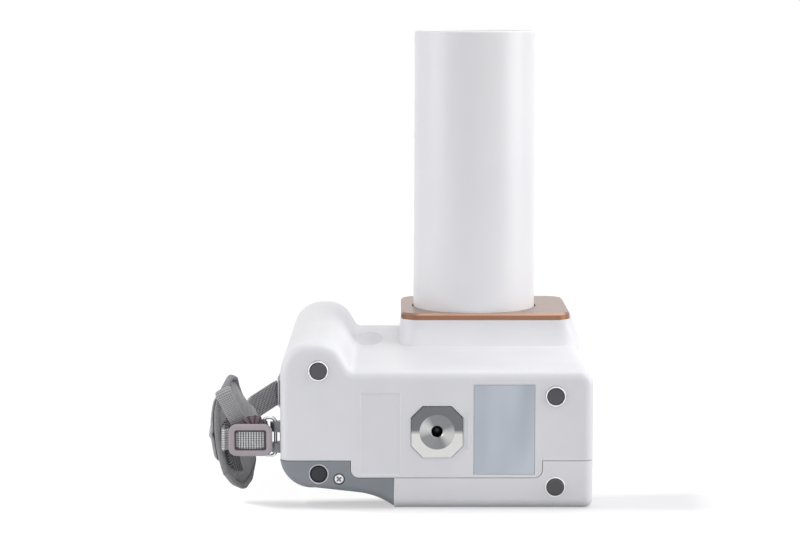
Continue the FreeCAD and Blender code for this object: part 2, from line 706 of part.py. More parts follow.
def is_bore(edge):
    """Whether the edge is the round of the cone's hole."""
    return edge.Curve.TypeId == "Part::GeomCircle" and edge.Curve.Center.x ** 2 < TOLERANCE


def make_cone():
    """The open cone: a tube that narrows a little towards its tip."""
    body = new_body("cone")
    sketch = new_sketch(body, "XZ_Plane")
    outline(sketch, (
        ("cone_foot_radius", CONE_BASE),
        ("cone_foot_radius", PLATE_TOP),
        ("cone_tip_radius", "cone_tip - cone_collar"),
        ("cone_tip_radius", "cone_tip"),
        ("cone_tip_radius - cone_wall", "cone_tip"),
        ("cone_foot_radius - cone_wall", CONE_BASE),
    ))
    turn(body, sketch)
    soften_at(body, "cone_bevel", {"z": "cone_tip"}, kind="Chamfer")
    return body


def make_aperture_disc():
    """The dark disc at the bottom of the cone, with the beam's aperture."""
    body = new_body("aperture_disc")
    sketch = new_sketch(body, "XY_Plane", CONE_BASE)
    disc(sketch, "0", "0", "cone_foot_radius - cone_wall - cone_gap")
    pad(body, sketch, "window_thick")
    beam = new_sketch(body, "XY_Plane", f"{CONE_BASE} + window_thick")
    disc(beam, "0", "0", "window_radius")
    pocket(body, beam, "window_thick / 2")
    return body


def make_tube_head():
    """The sealed tube head, a plain block in its room."""
    body = new_body("tube_head")
    sketch = new_sketch(body, "XY_Plane", "head_base")
    rectangle(sketch, "-cavity_left + cavity_gap", "cavity_right - cavity_gap",
              "-cavity_near + cavity_gap", "cavity_far - cavity_gap")
    pad(body, sketch, "cavity_top - cavity_gap - head_base")
    return body


def make_tripod_plate():
    """The steel plate with the tripod's thread, let into the underside."""
    body = new_body("tripod_plate")
    sketch = new_sketch(body, "XZ_Plane", "-body_near - tripod_proud")
    octagon(sketch, "tripod_width / 2", "tripod_bevel")
    pad(body, sketch, "tripod_thick", back=True)
    thread = new_sketch(body, "XZ_Plane", "-body_near - tripod_proud")
    disc(thread, "-tripod_x", "tripod_z", "thread_radius")
    pocket(body, thread, "tripod_thick")
    dish = new_sketch(body, "XY_Plane", "tripod_z")
    bind(dish, "AttachmentOffset.Base.x", "-tripod_x")
    bind(dish, "AttachmentOffset.Base.y", "-body_near - tripod_proud")
    outline(dish, (
        ("0", "-tripod_proud"),
        ("tripod_dish", "-tripod_proud"),
        ("tripod_dish", "tripod_dish_rim"),
        ("thread_radius + thread_mouth", "tripod_dish_depth"),
        ("thread_radius", "tripod_dish_depth + thread_mouth"),
        ("0", "tripod_dish_depth + thread_mouth"),
    ))
    groove(body, dish, "dish")
    return body


def make_feet():
    """The four rubber feet in their wells."""
    bodies = []
    for node, x, z, shorter, _ in FEET:
        body = new_body(node)
        sketch = new_sketch(body, "XZ_Plane", WELL_FLOOR)
        disc(sketch, x, z, "foot_radius")
        pad(body, sketch, f"foot_height - {shorter}")
        face = {"y": f"{WELL_FLOOR} - foot_height + {shorter}"}
        soften_at(body, "foot_edge", face, kind="Chamfer")
        bodies.append(body)
    return bodies


def make_label_plate():
    """The blank label plate in its recess."""
    body = new_body("label_plate")
    sketch = new_sketch(body, "XZ_Plane", "-body_near")
    rectangle(sketch, "-label_left", "label_right", "label_base", "label_top")
    pad(body, sketch, "label_thick", back=True)
    return body


def make_display_window():
    """The display's window, a little below the face that the unit rests on."""
    body = new_body("display_window")
    sketch = new_sketch(body, "XY_Plane", "screen_depth - screen_thick")
    rectangle(sketch, "-screen_left", "screen_right", "screen_near", "screen_far")
    pad(body, sketch, "screen_thick")
    return body


def make_keypad():
    """The keypad under the display: one sheet with a row of round keys."""
    body = new_body("keypad")
    sheet_sketch = new_sketch(body, "XY_Plane", "screen_depth - keypad_thick")
    rectangle(sheet_sketch, "-screen_left", "screen_right", "-keypad_near", "-keypad_far")
    pad(body, sheet_sketch, "keypad_thick")
    keys = new_sketch(body, "XY_Plane", "screen_depth - keypad_thick")
    for index in range(int(number("key_count"))):
        disc(keys, f"-key_first + {index} * key_pitch", "-(keypad_near + keypad_far) / 2", "key_radius")
    pad(body, keys, "key_height", back=True)
    return body


def make_exposure_button():
    """The exposure button in its well."""
    body = new_body("exposure_button")
    sketch = new_sketch(body, "XZ_Plane", "body_far - button_seat")
    disc(sketch, "-button_x", "button_z", "button_radius")
    pad(body, sketch, "button_height", back=True)
    face = {"y": "body_far - button_seat + button_height"}
    soften_at(body, "foot_edge", face, kind="Chamfer")
    return body


def make_port_cover():
    """The rubber cover of the charging port."""
    body = new_body("port_cover")
    sketch = new_sketch(body, "YZ_Plane", "body_right - port_depth")
    rectangle(sketch, "-port_near", "-port_near + port_length", "port_base", "port_base + port_height")
    pad(body, sketch, "port_thick")
    return body


ENDS = (
    # end of the strap, place of its ring
    ("near", NEAR_RING_Y),
    ("far", FAR_RING_Y),
)


def make_lugs():
    """The two lugs: knuckles on the left wall that the rings turn in."""
    bodies = []
    for name, y in ENDS:
        body = new_body(f"lug_{name}")
        foot = new_sketch(body, "XY_Plane", "strap_z - lug_half")
        rectangle(foot, KNUCKLE_X, "-body_left", f"{y} - lug_radius", f"{y} + lug_radius")
        pad(body, foot, "2 * lug_half")
        knuckle = new_sketch(body, "XY_Plane", "strap_z - lug_half")
        disc(knuckle, KNUCKLE_X, y, "lug_radius")
        pad(body, knuckle, "2 * lug_half")
        hole = new_sketch(body, "XY_Plane", "strap_z + lug_half")
        disc(hole, KNUCKLE_X, y, "wire_radius + lug_gap")
        pocket(body, hole, "2 * lug_half")
        bodies.append(body)
    return bodies


def make_rings():
    """The two wire rings between the lugs and the webbing."""
    bodies = []
    for name, y in ENDS:
        body = new_body(f"ring_{name}")
        sketch = new_sketch(body, "XZ_Plane", f"{y} - wire_radius")
        for side, corner in (("+", "ring_corner + wire_radius"), ("-", "ring_corner - wire_radius")):
            other = "-" if side == "+" else "+"
            rounded(sketch, f"{BAR_X} {other} wire_radius", f"{KNUCKLE_X} {side} wire_radius",
                    f"strap_z - ring_half {other} wire_radius",
                    f"strap_z + ring_half {side} wire_radius", corner)
        pad(body, sketch, "2 * wire_radius", back=True)
        soften_at(body, "wire_radius / 2", {"y": f"{y} - wire_radius"},
                  {"y": f"{y} + wire_radius"}, kind="Chamfer")
        bodies.append(body)
    return bodies


def add_web(body, corners):
    """One run of webbing, its edge seen from above, as wide as the webbing."""
    sketch = new_sketch(body, "XY_Plane", "strap_z - web_width / 2")
    outline(sketch, corners)
    pad(body, sketch, "web_width")


def add_web_loop(body, y):
    """The webbing's loop round a ring's outer bar."""
    sketch = new_sketch(body, "XY_Plane", "strap_z - web_width / 2")
    disc(sketch, BAR_X, y, LOOP_RADIUS)
    pad(body, sketch, "web_width")


def bore_web_loop(body, y):
    """The bar's room in the loop."""
    sketch = new_sketch(body, "XY_Plane", "strap_z + web_width / 2")
    disc(sketch, BAR_X, y, BAR_ROOM)
    pocket(body, sketch, "web_width")


def make_webbing_near():
    """The near webbing: round the ring, slanting out to the buckle, under it and
    back to the pad. Its slant runs at 45 degrees, tangent to the loop."""
    body = new_body("webbing_near")
    add_web_loop(body, NEAR_RING_Y)
    outer = (f"{BAR_X} + {LOOP_RADIUS} / sqrt(2)", f"{NEAR_RING_Y} - {LOOP_RADIUS} / sqrt(2)")
    inner = (f"{BAR_X} + {BAR_ROOM} / sqrt(2)", f"{NEAR_RING_Y} - {BAR_ROOM} / sqrt(2)")
    add_web(body, (
        outer,
        (f"{outer[0]} - ({outer[1]} - {WEB_FRONT})", WEB_FRONT),
        (f"{TAIL_X} + web_bend", WEB_FRONT),
        (TAIL_X, f"{WEB_FRONT} + web_bend"),
        (TAIL_X, PAD_NEAR),
        (f"{TAIL_X} + web_thick", PAD_NEAR),
        (f"{TAIL_X} + web_thick", f"{WEB_FRONT} + web_bend_in"),
        (f"{TAIL_X} + web_bend_in", f"{WEB_FRONT} + web_thick"),
        (f"{inner[0]} - ({inner[1]} - {WEB_FRONT} - web_thick)", f"{WEB_FRONT} + web_thick"),
        inner,
    ))
    bore_web_loop(body, NEAR_RING_Y)
    fold = new_sketch(body, "XZ_Plane", WEB_FRONT)
    rectangle(fold, "-buckle_right - buckle_width + buckle_rim + fit_gap",
              "-buckle_right - buckle_rim - fit_gap",
              "strap_z - buckle_height / 2 + buckle_rim + fit_gap",
              "strap_z + buckle_height / 2 - buckle_rim - fit_gap")
    pad(body, fold, "buckle_thick - fold_depth")
    return body


def make_webbing_far():
    """The far webbing: from the pad's far end, slanting in, round the far ring. Its
    slant is tangent to the loop."""
    body = new_body("webbing_far")
    add_web_loop(body, FAR_RING_Y)
    stretch = f"sqrt(1 + {FAR_SLOPE} * {FAR_SLOPE})"
    outer, inner = (
        (f"{BAR_X} - {radius} * {FAR_SLOPE} / {stretch}", f"{FAR_RING_Y} + {radius} / {stretch}")
        for radius in (LOOP_RADIUS, BAR_ROOM))
    inner_x = f"{FAR_TAIL_X} + web_thick"
    add_web(body, (
        outer,
        (FAR_TAIL_X, f"{outer[1]} - ({outer[0]} - {FAR_TAIL_X}) * {FAR_SLOPE}"),
        (FAR_TAIL_X, PAD_FAR),
        (inner_x, PAD_FAR),
        (inner_x, f"{inner[1]} - ({inner[0]} - {FAR_TAIL_X} - web_thick) * {FAR_SLOPE}"),
        inner,
    ))
    bore_web_loop(body, FAR_RING_Y)
    return body


def make_buckle():
    """The ladder buckle in front of the near webbing."""
    body = new_body("strap_buckle")
    sketch = new_sketch(body, "XZ_Plane", WEB_FRONT)
    left = "-buckle_right - buckle_width"
    low = "strap_z - buckle_height / 2"
    high = "strap_z + buckle_height / 2"
    rounded(sketch, left, "-buckle_right", low, high, "buckle_corner")
    rectangle(sketch, f"{left} + buckle_rim", "-buckle_right - buckle_rim",
              f"{low} + buckle_rim", f"{high} - buckle_rim")
    pad(body, sketch, "buckle_thick")
    return body


def pad_outline(sketch):
    """The pad laid flat, Y across and Z up: a round-cornered near end, edges that
    close in a little, and long curves that narrow it to its far end."""
    corner = f"{PAD_NEAR} + pad_corner * (1 - sqrt(0.5))"
    bend = f"{PAD_FAR} - pad_taper"
    swell = f"{PAD_FAR} - pad_taper * (1 - pad_bulge_at)"
    upper, upper_end = "(pad_top - pad_fall)", "(strap_z + pad_tip)"
    lower, lower_end = "(pad_base + pad_rise)", "(strap_z - pad_tip)"
    outline(sketch, (
        (PAD_NEAR, "pad_top - pad_corner"),
        (f"{PAD_NEAR} + pad_corner", "pad_top", corner, "pad_top - pad_corner * (1 - sqrt(0.5))"),
        (bend, upper),
        (PAD_FAR, upper_end, swell, f"{upper} - ({upper} - {upper_end}) * pad_bulge"),
        (PAD_FAR, lower_end),
        (bend, lower, swell, f"{lower} + ({lower_end} - {lower}) * pad_bulge"),
        (f"{PAD_NEAR} + pad_corner", "pad_base"),
        (PAD_NEAR, "pad_base + pad_corner", corner, "pad_base + pad_corner * (1 - sqrt(0.5))"),
    ))


def make_strap_pad():
    """The padded part of the strap, bowed round the back of the hand. Its blank is
    cut to the bow on both faces."""
    body = new_body("strap_pad")
    blank = new_sketch(body, "YZ_Plane", "-pad_reach - pad_spare")
    pad_outline(blank)
    pad(body, blank, "pad_reach + 2 * pad_spare - pad_base_x + pad_thick + pad_slant")
    for depth, beyond in (("0", "-pad_reach - pad_slant - 2 * pad_spare"),
                          ("pad_thick", "-pad_base_x + pad_thick + pad_slant + 2 * pad_spare")):
        bow = new_sketch(body, "XZ_Plane", f"{PAD_NEAR} - pad_spare")
        outline(bow, (
            (f"-pad_base_x + {depth}", "pad_base - pad_spare"),
            (f"-pad_base_x + {depth}", "pad_base"),
            (f"-pad_top_x + {depth}", "pad_top", f"-pad_reach + {depth}", PAD_MIDDLE),
            (f"-pad_top_x + {depth}", "pad_top + pad_spare"),
            (beyond, "pad_top + pad_spare"),
            (beyond, "pad_base - pad_spare"),
        ))
        length = f"{PAD_FAR} - {PAD_NEAR} + 2 * pad_spare"
        cut = pocket(body, bow, length)
        cut.UseCustomVector = True
        cut.Direction = Vector(0, 1, 0)
        bind(cut, "Direction.x", f"pad_slant / ({length})")
    doc.recompute()
    return body


def check_document():
    """Refuses a document with a failed object or an unsound solid."""
    for item in doc.Objects:
        if "Invalid" in item.State or "Error" in item.State:
            raise ValueError(f"{item.Name} failed: {item.State}")
    for body in (item for item in doc.Objects if item.TypeId == "PartDesign::Body"):
        if body.Shape.isNull() or not body.Shape.isValid() or len(body.Shape.Solids) != 1:
            raise ValueError(f"{body.Label} is not one sound solid")


def main():
    """Makes every sub-part, checks it and writes it."""
    make_front_housing()
    make_rear_housing()
    make_grip_cover()
    make_trim_plate()
    make_cone()
    make_aperture_disc()
    make_tube_head()
    make_tripod_plate()
    make_feet()
    make_label_plate()
    make_display_window()
    make_keypad()
    make_exposure_button()
    make_port_cover()
    make_lugs()
    make_rings()
    make_webbing_near()
    make_webbing_far()
    make_buckle()
    make_strap_pad()
    doc.recompute()
    check_document()
    os.makedirs("parts", exist_ok=True)
    for body in (item for item in doc.Objects if item.TypeId == "PartDesign::Body"):
        body.Shape.exportStep(f"parts/{body.Label}.step")
        box = body.Shape.BoundBox
        print(f"{body.Label}: volume {body.Shape.Volume:.0f} mm3, "
              f"x {box.XMin:.1f}..{box.XMax:.1f}, y {box.YMin:.1f}..{box.YMax:.1f}, "
              f"z {box.ZMin:.1f}..{box.ZMax:.1f}")


main()
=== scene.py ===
"""Looks of a hand-held dental x-ray unit that lies on its rear face: white moulded
housing, soft grip, rose trim plate, beam cone and a padded hand strap. Lengths are in
millimetres in the classes and turned to metres where a mesh is made."""

import logging
import math
from dataclasses import dataclass
from enum import Enum
from typing import Any

import bpy
import numpy as np
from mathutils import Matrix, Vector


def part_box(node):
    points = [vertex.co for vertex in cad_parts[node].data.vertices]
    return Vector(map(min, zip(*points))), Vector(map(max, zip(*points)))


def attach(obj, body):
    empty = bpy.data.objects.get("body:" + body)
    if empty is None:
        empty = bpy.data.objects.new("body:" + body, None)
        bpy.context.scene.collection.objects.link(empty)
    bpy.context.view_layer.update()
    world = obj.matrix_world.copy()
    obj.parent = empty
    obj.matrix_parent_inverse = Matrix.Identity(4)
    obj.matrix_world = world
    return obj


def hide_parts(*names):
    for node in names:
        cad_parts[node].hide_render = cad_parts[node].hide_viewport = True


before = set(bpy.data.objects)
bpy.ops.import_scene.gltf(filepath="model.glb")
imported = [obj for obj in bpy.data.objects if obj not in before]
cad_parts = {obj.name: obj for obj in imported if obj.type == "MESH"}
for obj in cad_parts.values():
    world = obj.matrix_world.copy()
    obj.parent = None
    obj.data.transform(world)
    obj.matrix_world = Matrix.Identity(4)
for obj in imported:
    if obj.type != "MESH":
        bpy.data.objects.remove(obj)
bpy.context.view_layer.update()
LOG = logging.getLogger("xray_unit")
MM = 0.001
ALONG_Y = np.array([0.0, 1.0, 0.0])
# nearly all of a noise's values lie between these two
NOISE_LOW, NOISE_HIGH = 0.3, 0.7
EVEN_GRAIN = (900.0, 900.0, 900.0)

Array = np.ndarray
Point = tuple[float, float, float]
Object = bpy.types.Object
Socket = bpy.types.NodeSocket


class Body(Enum):
    """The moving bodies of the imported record."""

    UNIT = "unit"
    NEAR_RING = "near_ring"
    STRAP = "hand_strap"
    FAR_RING = "far_ring"


def linear(colour: str) -> tuple[float, float, float, float]:
    """Turns an sRGB hex colour to linear light.

    Args:
        colour: "#rrggbb".

    Returns:
        Linear red, green, blue and an alpha of 1.
    """
    parts = [int(colour[i:i + 2], 16) / 255 for i in (1, 3, 5)]
    red, green, blue = (c / 12.92 if c <= 0.04045 else ((c + 0.055) / 1.055) ** 2.4 for c in parts)
    return (red, green, blue, 1.0)


@dataclass(frozen=True)
class Nodes:
    """Adds nodes to one tree and hands on their output sockets."""

    tree: bpy.types.NodeTree

    def add(self, kind: str, inputs: dict[Any, Any] | None = None, output: str | int = 0,
            **settings: Any) -> Socket | None:
        """Adds one node, sets it up and links it.

        Args:
            kind: Type of the node, without its "ShaderNode".
            inputs: Socket name or number to a constant or to another node's output socket.
            output: The output that is wanted.
            settings: Properties of the node itself.

        Returns:
            The output, or None for a node that has none.
        """
        made = self.tree.nodes.new("ShaderNode" + kind)
        for name, value in settings.items():
            setattr(made, name, value)
        for name, value in (inputs or {}).items():
            if isinstance(value, Socket):
                self.tree.links.new(value, made.inputs[name])
            else:
                made.inputs[name].default_value = value
        return made.outputs[output] if made.outputs else None

    def place(self) -> Socket:
        """Object coordinates, in metres."""
        return self.add("TexCoord", output="Object")

    def parts(self, vector: Socket) -> list[Socket]:
        """The X, Y and Z of a vector."""
        return list(self.add("SeparateXYZ", {"Vector": vector}).node.outputs)

    def math(self, operation: str, *values: Socket | float) -> Socket:
        """One sum, product or other function of up to three values."""
        return self.add("Math", dict(enumerate(values)), operation=operation)

    def noise(self, place: Socket, scale: float, detail: float, roughness: float = 0.5) -> Socket:
        """Fractal noise, with its scale per metre."""
        return self.add("TexNoise", {"Vector": place, "Scale": scale, "Detail": detail,
                                     "Roughness": roughness})

    def scaled(self, value: Socket, start: float, end: float, low: float = 0.0,
               high: float = 1.0) -> Socket:
        """A value carried from one range to another and held at its ends."""
        return self.add("MapRange", {"Value": value, "From Min": start, "From Max": end,
                                     "To Min": low, "To Max": high})

    def bump(self, height: Socket, strength: float, relief_mm: float,
             more: dict[str, Socket] | None = None, **settings: Any) -> Socket:
        """A normal that is tilted by a height."""
        return self.add("Bump", {"Height": height, "Strength": strength,
                                 "Distance": relief_mm * MM, **(more or {})}, **settings)

    def ramp(self, factor: Socket, low: str, high: str, start: float = 0.0,
             end: float = 1.0) -> Socket:
        """A colour ramp between two hex colours.

        Args:
            factor: Value that drives the ramp.
            low: Colour at the start.
            high: Colour at the end.
            start: Place of the first colour.
            end: Place of the second colour.

        Returns:
            The ramp's colour.
        """
        colour = self.add("ValToRGB", {"Fac": factor})
        first, last = colour.node.color_ramp.elements
        first.position, first.color = start, linear(low)
        last.position, last.color = end, linear(high)
        return colour

    def seen(self) -> Socket:
        """1 for camera, glossy and transmission rays, and 0 for the rest."""
        rays = self.add("LightPath").node.outputs
        direct = self.math("MAXIMUM", rays["Is Camera Ray"], rays["Is Glossy Ray"])
        return self.math("MAXIMUM", direct, rays["Is Transmission Ray"])


def fresh_nodes(owner: bpy.types.Material | bpy.types.World) -> Nodes:
    """Empties a material's or a world's tree for new nodes."""
    owner.use_nodes = True
    owner.node_tree.nodes.clear()
    return Nodes(owner.node_tree)


def new_object(name: str, data: bpy.types.ID) -> Object:
    """Makes an object and links it to the scene."""
    made = bpy.data.objects.new(name, data)
    bpy.context.scene.collection.objects.link(made)
    return made


@dataclass(frozen=True)
class Finish:
    """A material of one surface. Each kind of finish builds its own node tree."""

    label: str

    def shade(self, nodes: Nodes) -> Socket:
        """Builds the nodes and returns the shader's socket."""
        raise NotImplementedError

    def material(self) -> bpy.types.Material:
        """The material, made once and then shared.

        Returns:
            The material with this finish's name.
        """
        known = bpy.data.materials.get(self.label)
        if known is not None:
            return known
        made = bpy.data.materials.new(self.label)
        nodes = fresh_nodes(made)
        nodes.add("OutputMaterial", {"Surface": self.shade(nodes)})
        return made


@dataclass(frozen=True)
class MouldedPlastic(Finish):
    """Injection-moulded plastic or rubber: a fine spark-eroded grain from the mould, and
    a faint cloudiness of its colour and gloss over some centimetres."""

    base: str
    shade_of: str
    roughness: float = 0.42
    grain_mm: float = 0.5
    relief_mm: float = 0.012
    coat: float = 0.0
    drift: float = 0.04
    ease_mm: float = 0.45
    clouds_per_m: float = 28.0

    def shade(self, nodes: Nodes) -> Socket:
        """Grain drives the bump, a broad cloud the colour and the roughness, and sharp
        edges catch the light as if rounded a little."""
        place = nodes.place()
        grain = nodes.noise(place, 1 / (self.grain_mm * MM), 3.0, 0.6)
        cloud = nodes.noise(place, self.clouds_per_m, 2.0)
        eased = nodes.add("Bevel", {"Radius": self.ease_mm * MM}, samples=6)
        return nodes.add("BsdfPrincipled", {
            "Base Color": nodes.ramp(cloud, self.shade_of, self.base, 0.35, 0.6),
            "Roughness": nodes.scaled(cloud, NOISE_LOW, NOISE_HIGH, self.roughness - self.drift,
                                      self.roughness + self.drift),
            "Normal": nodes.bump(grain, 0.6, self.relief_mm, {"Normal": eased}), "IOR": 1.5,
            "Coat Weight": self.coat, "Coat Roughness": 0.2})


@dataclass(frozen=True)
class BrushedMetal(Finish):
    """Drawn, plated or anodised metal: fine streaks along one axis, which spread its
    highlight across them. An upper face can take a paler tone, painted reflection of
    the white above it."""

    base: str
    roughness: float = 0.32
    metallic: float = 1.0
    streak: Point = (60.0, 2500.0, 2500.0)
    relief_mm: float = 0.01
    painted_top_light: str = ""
    drift: float = 0.07

    def shade(self, nodes: Nodes) -> Socket:
        """Noise stretched along the streaks drives roughness and bump."""
        along = nodes.add("Mapping", {"Vector": nodes.place(), "Scale": self.streak})
        streaks = nodes.noise(along, 1.0, 3.0)
        facing = nodes.parts(nodes.add("TexCoord", output="Normal"))[2]
        return nodes.add("BsdfPrincipled", {
            # faces turned up get the paler tone: painted reflection
            "Base Color": nodes.ramp(facing, self.base, self.painted_top_light or self.base, 0.6, 0.95),
            "Metallic": self.metallic, "Normal": nodes.bump(streaks, 0.5, self.relief_mm),
            "Roughness": nodes.scaled(streaks, NOISE_LOW, NOISE_HIGH, self.roughness - self.drift,
                                      self.roughness + self.drift)})


@dataclass(frozen=True)
class TurnedSteel(Finish):
    """Stainless steel faced on a lathe: the tool leaves rings round the axis. Two opposite
    fans of light on the dish, and the rim dark above the axis and pale below, are painted
    reflection; the threaded bore's near black is painted shade."""

    # painted reflection tones for the rim and the dish, and painted shade for the bore
    pale: str = "#C6C6C4"
    deep: str = "#6A6B6D"
    dish_pale: str = "#B9B9B8"
    dish_deep: str = "#7C7D7F"
    bore: str = "#040404"
    axis_x_mm: float = -22.0
    axis_z_mm: float = 39.0
    bore_mm: float = 2.7
    dish_mm: float = 8.75
    ring_mm: float = 0.55
    relief_mm: float = 0.02
    roughness: float = 0.27
    blur_mm: float = 0.05
    fan_turn: float = 0.7
    flip_low_mm: float = -1.2
    flip_high_mm: float = 1.0

    def shade(self, nodes: Nodes) -> Socket:
        """The distance from the axis makes the rings, twice the angle round it the painted
        fans, and the bore's painted shade is told by its radius."""
        centred = nodes.add("Mapping", {
            "Vector": nodes.place(),
            "Location": (-self.axis_x_mm * MM, 0.0, -self.axis_z_mm * MM)})
        flat = nodes.add("VectorMath", {0: centred, 1: (1.0, 0.0, 1.0)}, operation="MULTIPLY")
        reach = nodes.add("VectorMath", {0: flat}, "Value", operation="LENGTH")
        turns = nodes.math("MULTIPLY", reach, 2 * math.pi / (self.ring_mm * MM))
        # painted reflection on the dish and the rim, painted shade in the bore
        faces = nodes.add("MixRGB", {"Fac": self.beyond(nodes, reach, self.dish_mm),
                                     "Color1": self.fans(nodes, centred),
                                     "Color2": self.rim(nodes, centred)})
        dark = nodes.add("MixRGB", {"Fac": self.beyond(nodes, reach, self.bore_mm),
                                    "Color1": linear(self.bore), "Color2": faces})
        return nodes.add("BsdfPrincipled", {
            "Base Color": dark, "Metallic": 1.0, "Roughness": self.roughness, "Anisotropic": 0.5,
            "Normal": nodes.bump(nodes.math("SINE", turns), 0.5, self.relief_mm),
            "Tangent": nodes.add("Tangent", direction_type="RADIAL", axis="Y")})

    def beyond(self, nodes: Nodes, value: Socket, radius: float) -> Socket:
        """0 inside a radius and 1 outside it, with a slight blur."""
        return nodes.scaled(value, (radius - self.blur_mm) * MM, (radius + self.blur_mm) * MM)

    def fans(self, nodes: Nodes, place: Socket) -> Socket:
        """The dish's painted reflection: the cosine of twice the angle round the axis, so
        that it is brighter along one line than across it."""
        x, _, z = nodes.parts(place)
        twice = nodes.math("MULTIPLY_ADD", nodes.math("ARCTAN2", z, x), 2.0, self.fan_turn)
        return nodes.ramp(nodes.math("COSINE", twice), self.dish_deep, self.dish_pale)

    def rim(self, nodes: Nodes, place: Socket) -> Socket:
        """The flat rim's painted reflection: dark above the axis and pale below."""
        height = nodes.scaled(nodes.parts(place)[2], self.flip_low_mm * MM,
                              self.flip_high_mm * MM, 1.0, 0.0)
        return nodes.ramp(height, self.deep, self.pale)


@dataclass(frozen=True)
class Webbing(Finish):
    """Woven polyester webbing: ribs across the strap, each of short weft floats with a
    dark line between, read from the strap's own lengths in millimetres."""

    base: str
    gap: str
    rib_mm: float = 1.3
    float_mm: float = 1.15
    rib_share: float = 0.3
    weave_share: float = 0.8
    dust_share: float = 0.35

    def shade(self, nodes: Nodes) -> Socket:
        """Two crossed waves: ribs along the length and floats across the width."""
        length, width, _ = nodes.parts(nodes.add("TexCoord", output="UV"))
        rib = self.wave(nodes, length, self.rib_mm)
        weave = nodes.math("MULTIPLY", rib, self.wave(nodes, width, self.float_mm))
        mixed = nodes.math("MULTIPLY", weave, self.weave_share)
        height = nodes.math("MULTIPLY_ADD", rib, self.rib_share, mixed)
        dust = nodes.noise(nodes.place(), 900.0, 2.0)
        soft = nodes.math("MULTIPLY_ADD", dust, self.dust_share, height)
        return nodes.add("BsdfPrincipled", {
            "Base Color": nodes.ramp(soft, self.gap, self.base, 0.2, 0.85), "Roughness": 0.8,
            "Sheen Weight": 0.25, "Sheen Roughness": 0.4, "Normal": nodes.bump(height, 0.8, 0.25)})

    def wave(self, nodes: Nodes, value: Socket, pitch: float) -> Socket:
        """A wave from 0 to 1 with the pitch given: half of 1 plus the sine."""
        turned = nodes.math("MULTIPLY", value, 2 * math.pi / pitch)
        return nodes.math("MULTIPLY_ADD", nodes.math("SINE", turned), 0.5, 0.5)


@dataclass(frozen=True)
class Suede(Finish):
    """Brushed microfibre: a short nap that scatters at grazing angles, mottled where
    the nap lies another way."""

    base: str
    dark: str
    nap_mm: float = 0.6

    def shade(self, nodes: Nodes) -> Socket:
        """Fine noise for the nap, patches of noise for its lie."""
        place = nodes.place()
        nap = nodes.noise(place, 1 / (self.nap_mm * MM), 5.0, 0.7)
        mixed = nodes.math("ADD", nap, nodes.noise(place, 90.0, 3.0))
        return nodes.add("BsdfPrincipled", {
            "Base Color": nodes.ramp(mixed, self.dark, self.base, 0.7, 1.25), "Roughness": 0.9,
            "Sheen Weight": 0.35, "Sheen Roughness": 0.5, "Normal": nodes.bump(nap, 0.7, 0.15)})


@dataclass(frozen=True)
class MeshLining(Finish):
    """Knitted spacer mesh: a lattice of pale threads, with its holes painted near black
    for the shade in them.
    """

    thread: str = "#A6A7AB"
    # near-black holes: painted shade
    hole: str = "#0C0C0D"
    pitch_mm: float = 1.9
    turn: float = 0.9

    def shade(self, nodes: Nodes) -> Socket:
        """Two waves along the lining's two diagonals, multiplied, leave diamonds."""
        uv = nodes.add("TexCoord", output="UV")
        waves = []
        for turn in (self.turn, -self.turn):
            line = nodes.add("Mapping", {"Vector": uv, "Rotation": (0.0, 0.0, turn)})
            size = nodes.math("MULTIPLY", nodes.parts(line)[0], math.pi / self.pitch_mm)
            waves.append(nodes.math("ABSOLUTE", nodes.math("SINE", size)))
        hole = nodes.math("MULTIPLY", *waves)
        return nodes.add("BsdfPrincipled", {
            "Base Color": nodes.ramp(hole, self.thread, self.hole, 0.12, 0.42),
            "Roughness": 0.85, "Normal": nodes.bump(hole, 0.8, 0.5, invert=True)})


@dataclass(frozen=True)
class LabelFoil(Finish):
    """Silvered polyester film: a soft sheen in broad vertical bands, finely brushed."""

    base: str = "#A6ACB5"
    pale: str = "#B7BDC6"
    band: Point = (60.0, 1.0, 18.0)
    brush: Point = (2200.0, 1.0, 90.0)

    def shade(self, nodes: Nodes) -> Socket:
        """Long noise across the plate gives the bands."""
        place = nodes.place()
        bands = nodes.add("Mapping", {"Vector": place, "Scale": self.band})
        lines = nodes.add("Mapping", {"Vector": place, "Scale": self.brush})
        broad, fine = nodes.noise(bands, 1.0, 1.0), nodes.noise(lines, 1.0, 2.0)
        return nodes.add("BsdfPrincipled", {
            "Base Color": nodes.ramp(broad, self.base, self.pale, 0.35, 0.65),
            "Metallic": 0.55, "Roughness": 0.36, "Normal": nodes.bump(fine, 0.4, 0.01)})


@dataclass(frozen=True)
class StudioPaper(Finish):
    """Matt paper that glows a little for the eye, so that only the object's shadow shows
    on it. It fades to white far off, and nearly so behind a line along the object's front."""

    tone: str = "#A0A0A2"
    glow: float = 0.5
    white: float = 1.06
    fade: tuple[float, float] = (0.35, 0.8)
    slant: Point = (-0.085, 1.0, 0.0)
    behind: tuple[float, float] = (-0.1008, -0.0908)
    behind_most: float = 0.85

    def shade(self, nodes: Nodes) -> Socket:
        """Paper for the light, and paper with its glow, veiled in white, for the eye."""
        place = nodes.place()
        paper = nodes.add("BsdfDiffuse", {"Color": linear(self.tone)})
        lit = nodes.add("AddShader", {0: paper, 1: nodes.add("Emission", {"Strength": self.glow})})
        reach = nodes.add("VectorMath", {0: place}, "Value", operation="LENGTH")
        depth = nodes.add("VectorMath", {0: place, 1: self.slant}, "Value",
                          operation="DOT_PRODUCT")
        veil = nodes.math("MAXIMUM", nodes.scaled(reach, *self.fade),
                          nodes.scaled(depth, *self.behind, high=self.behind_most))
        white = nodes.add("Emission", {"Strength": self.white})
        faded = nodes.add("MixShader", {0: veil, 1: lit, 2: white})
        return nodes.add("MixShader", {0: nodes.seen(), 1: paper, 2: faded})


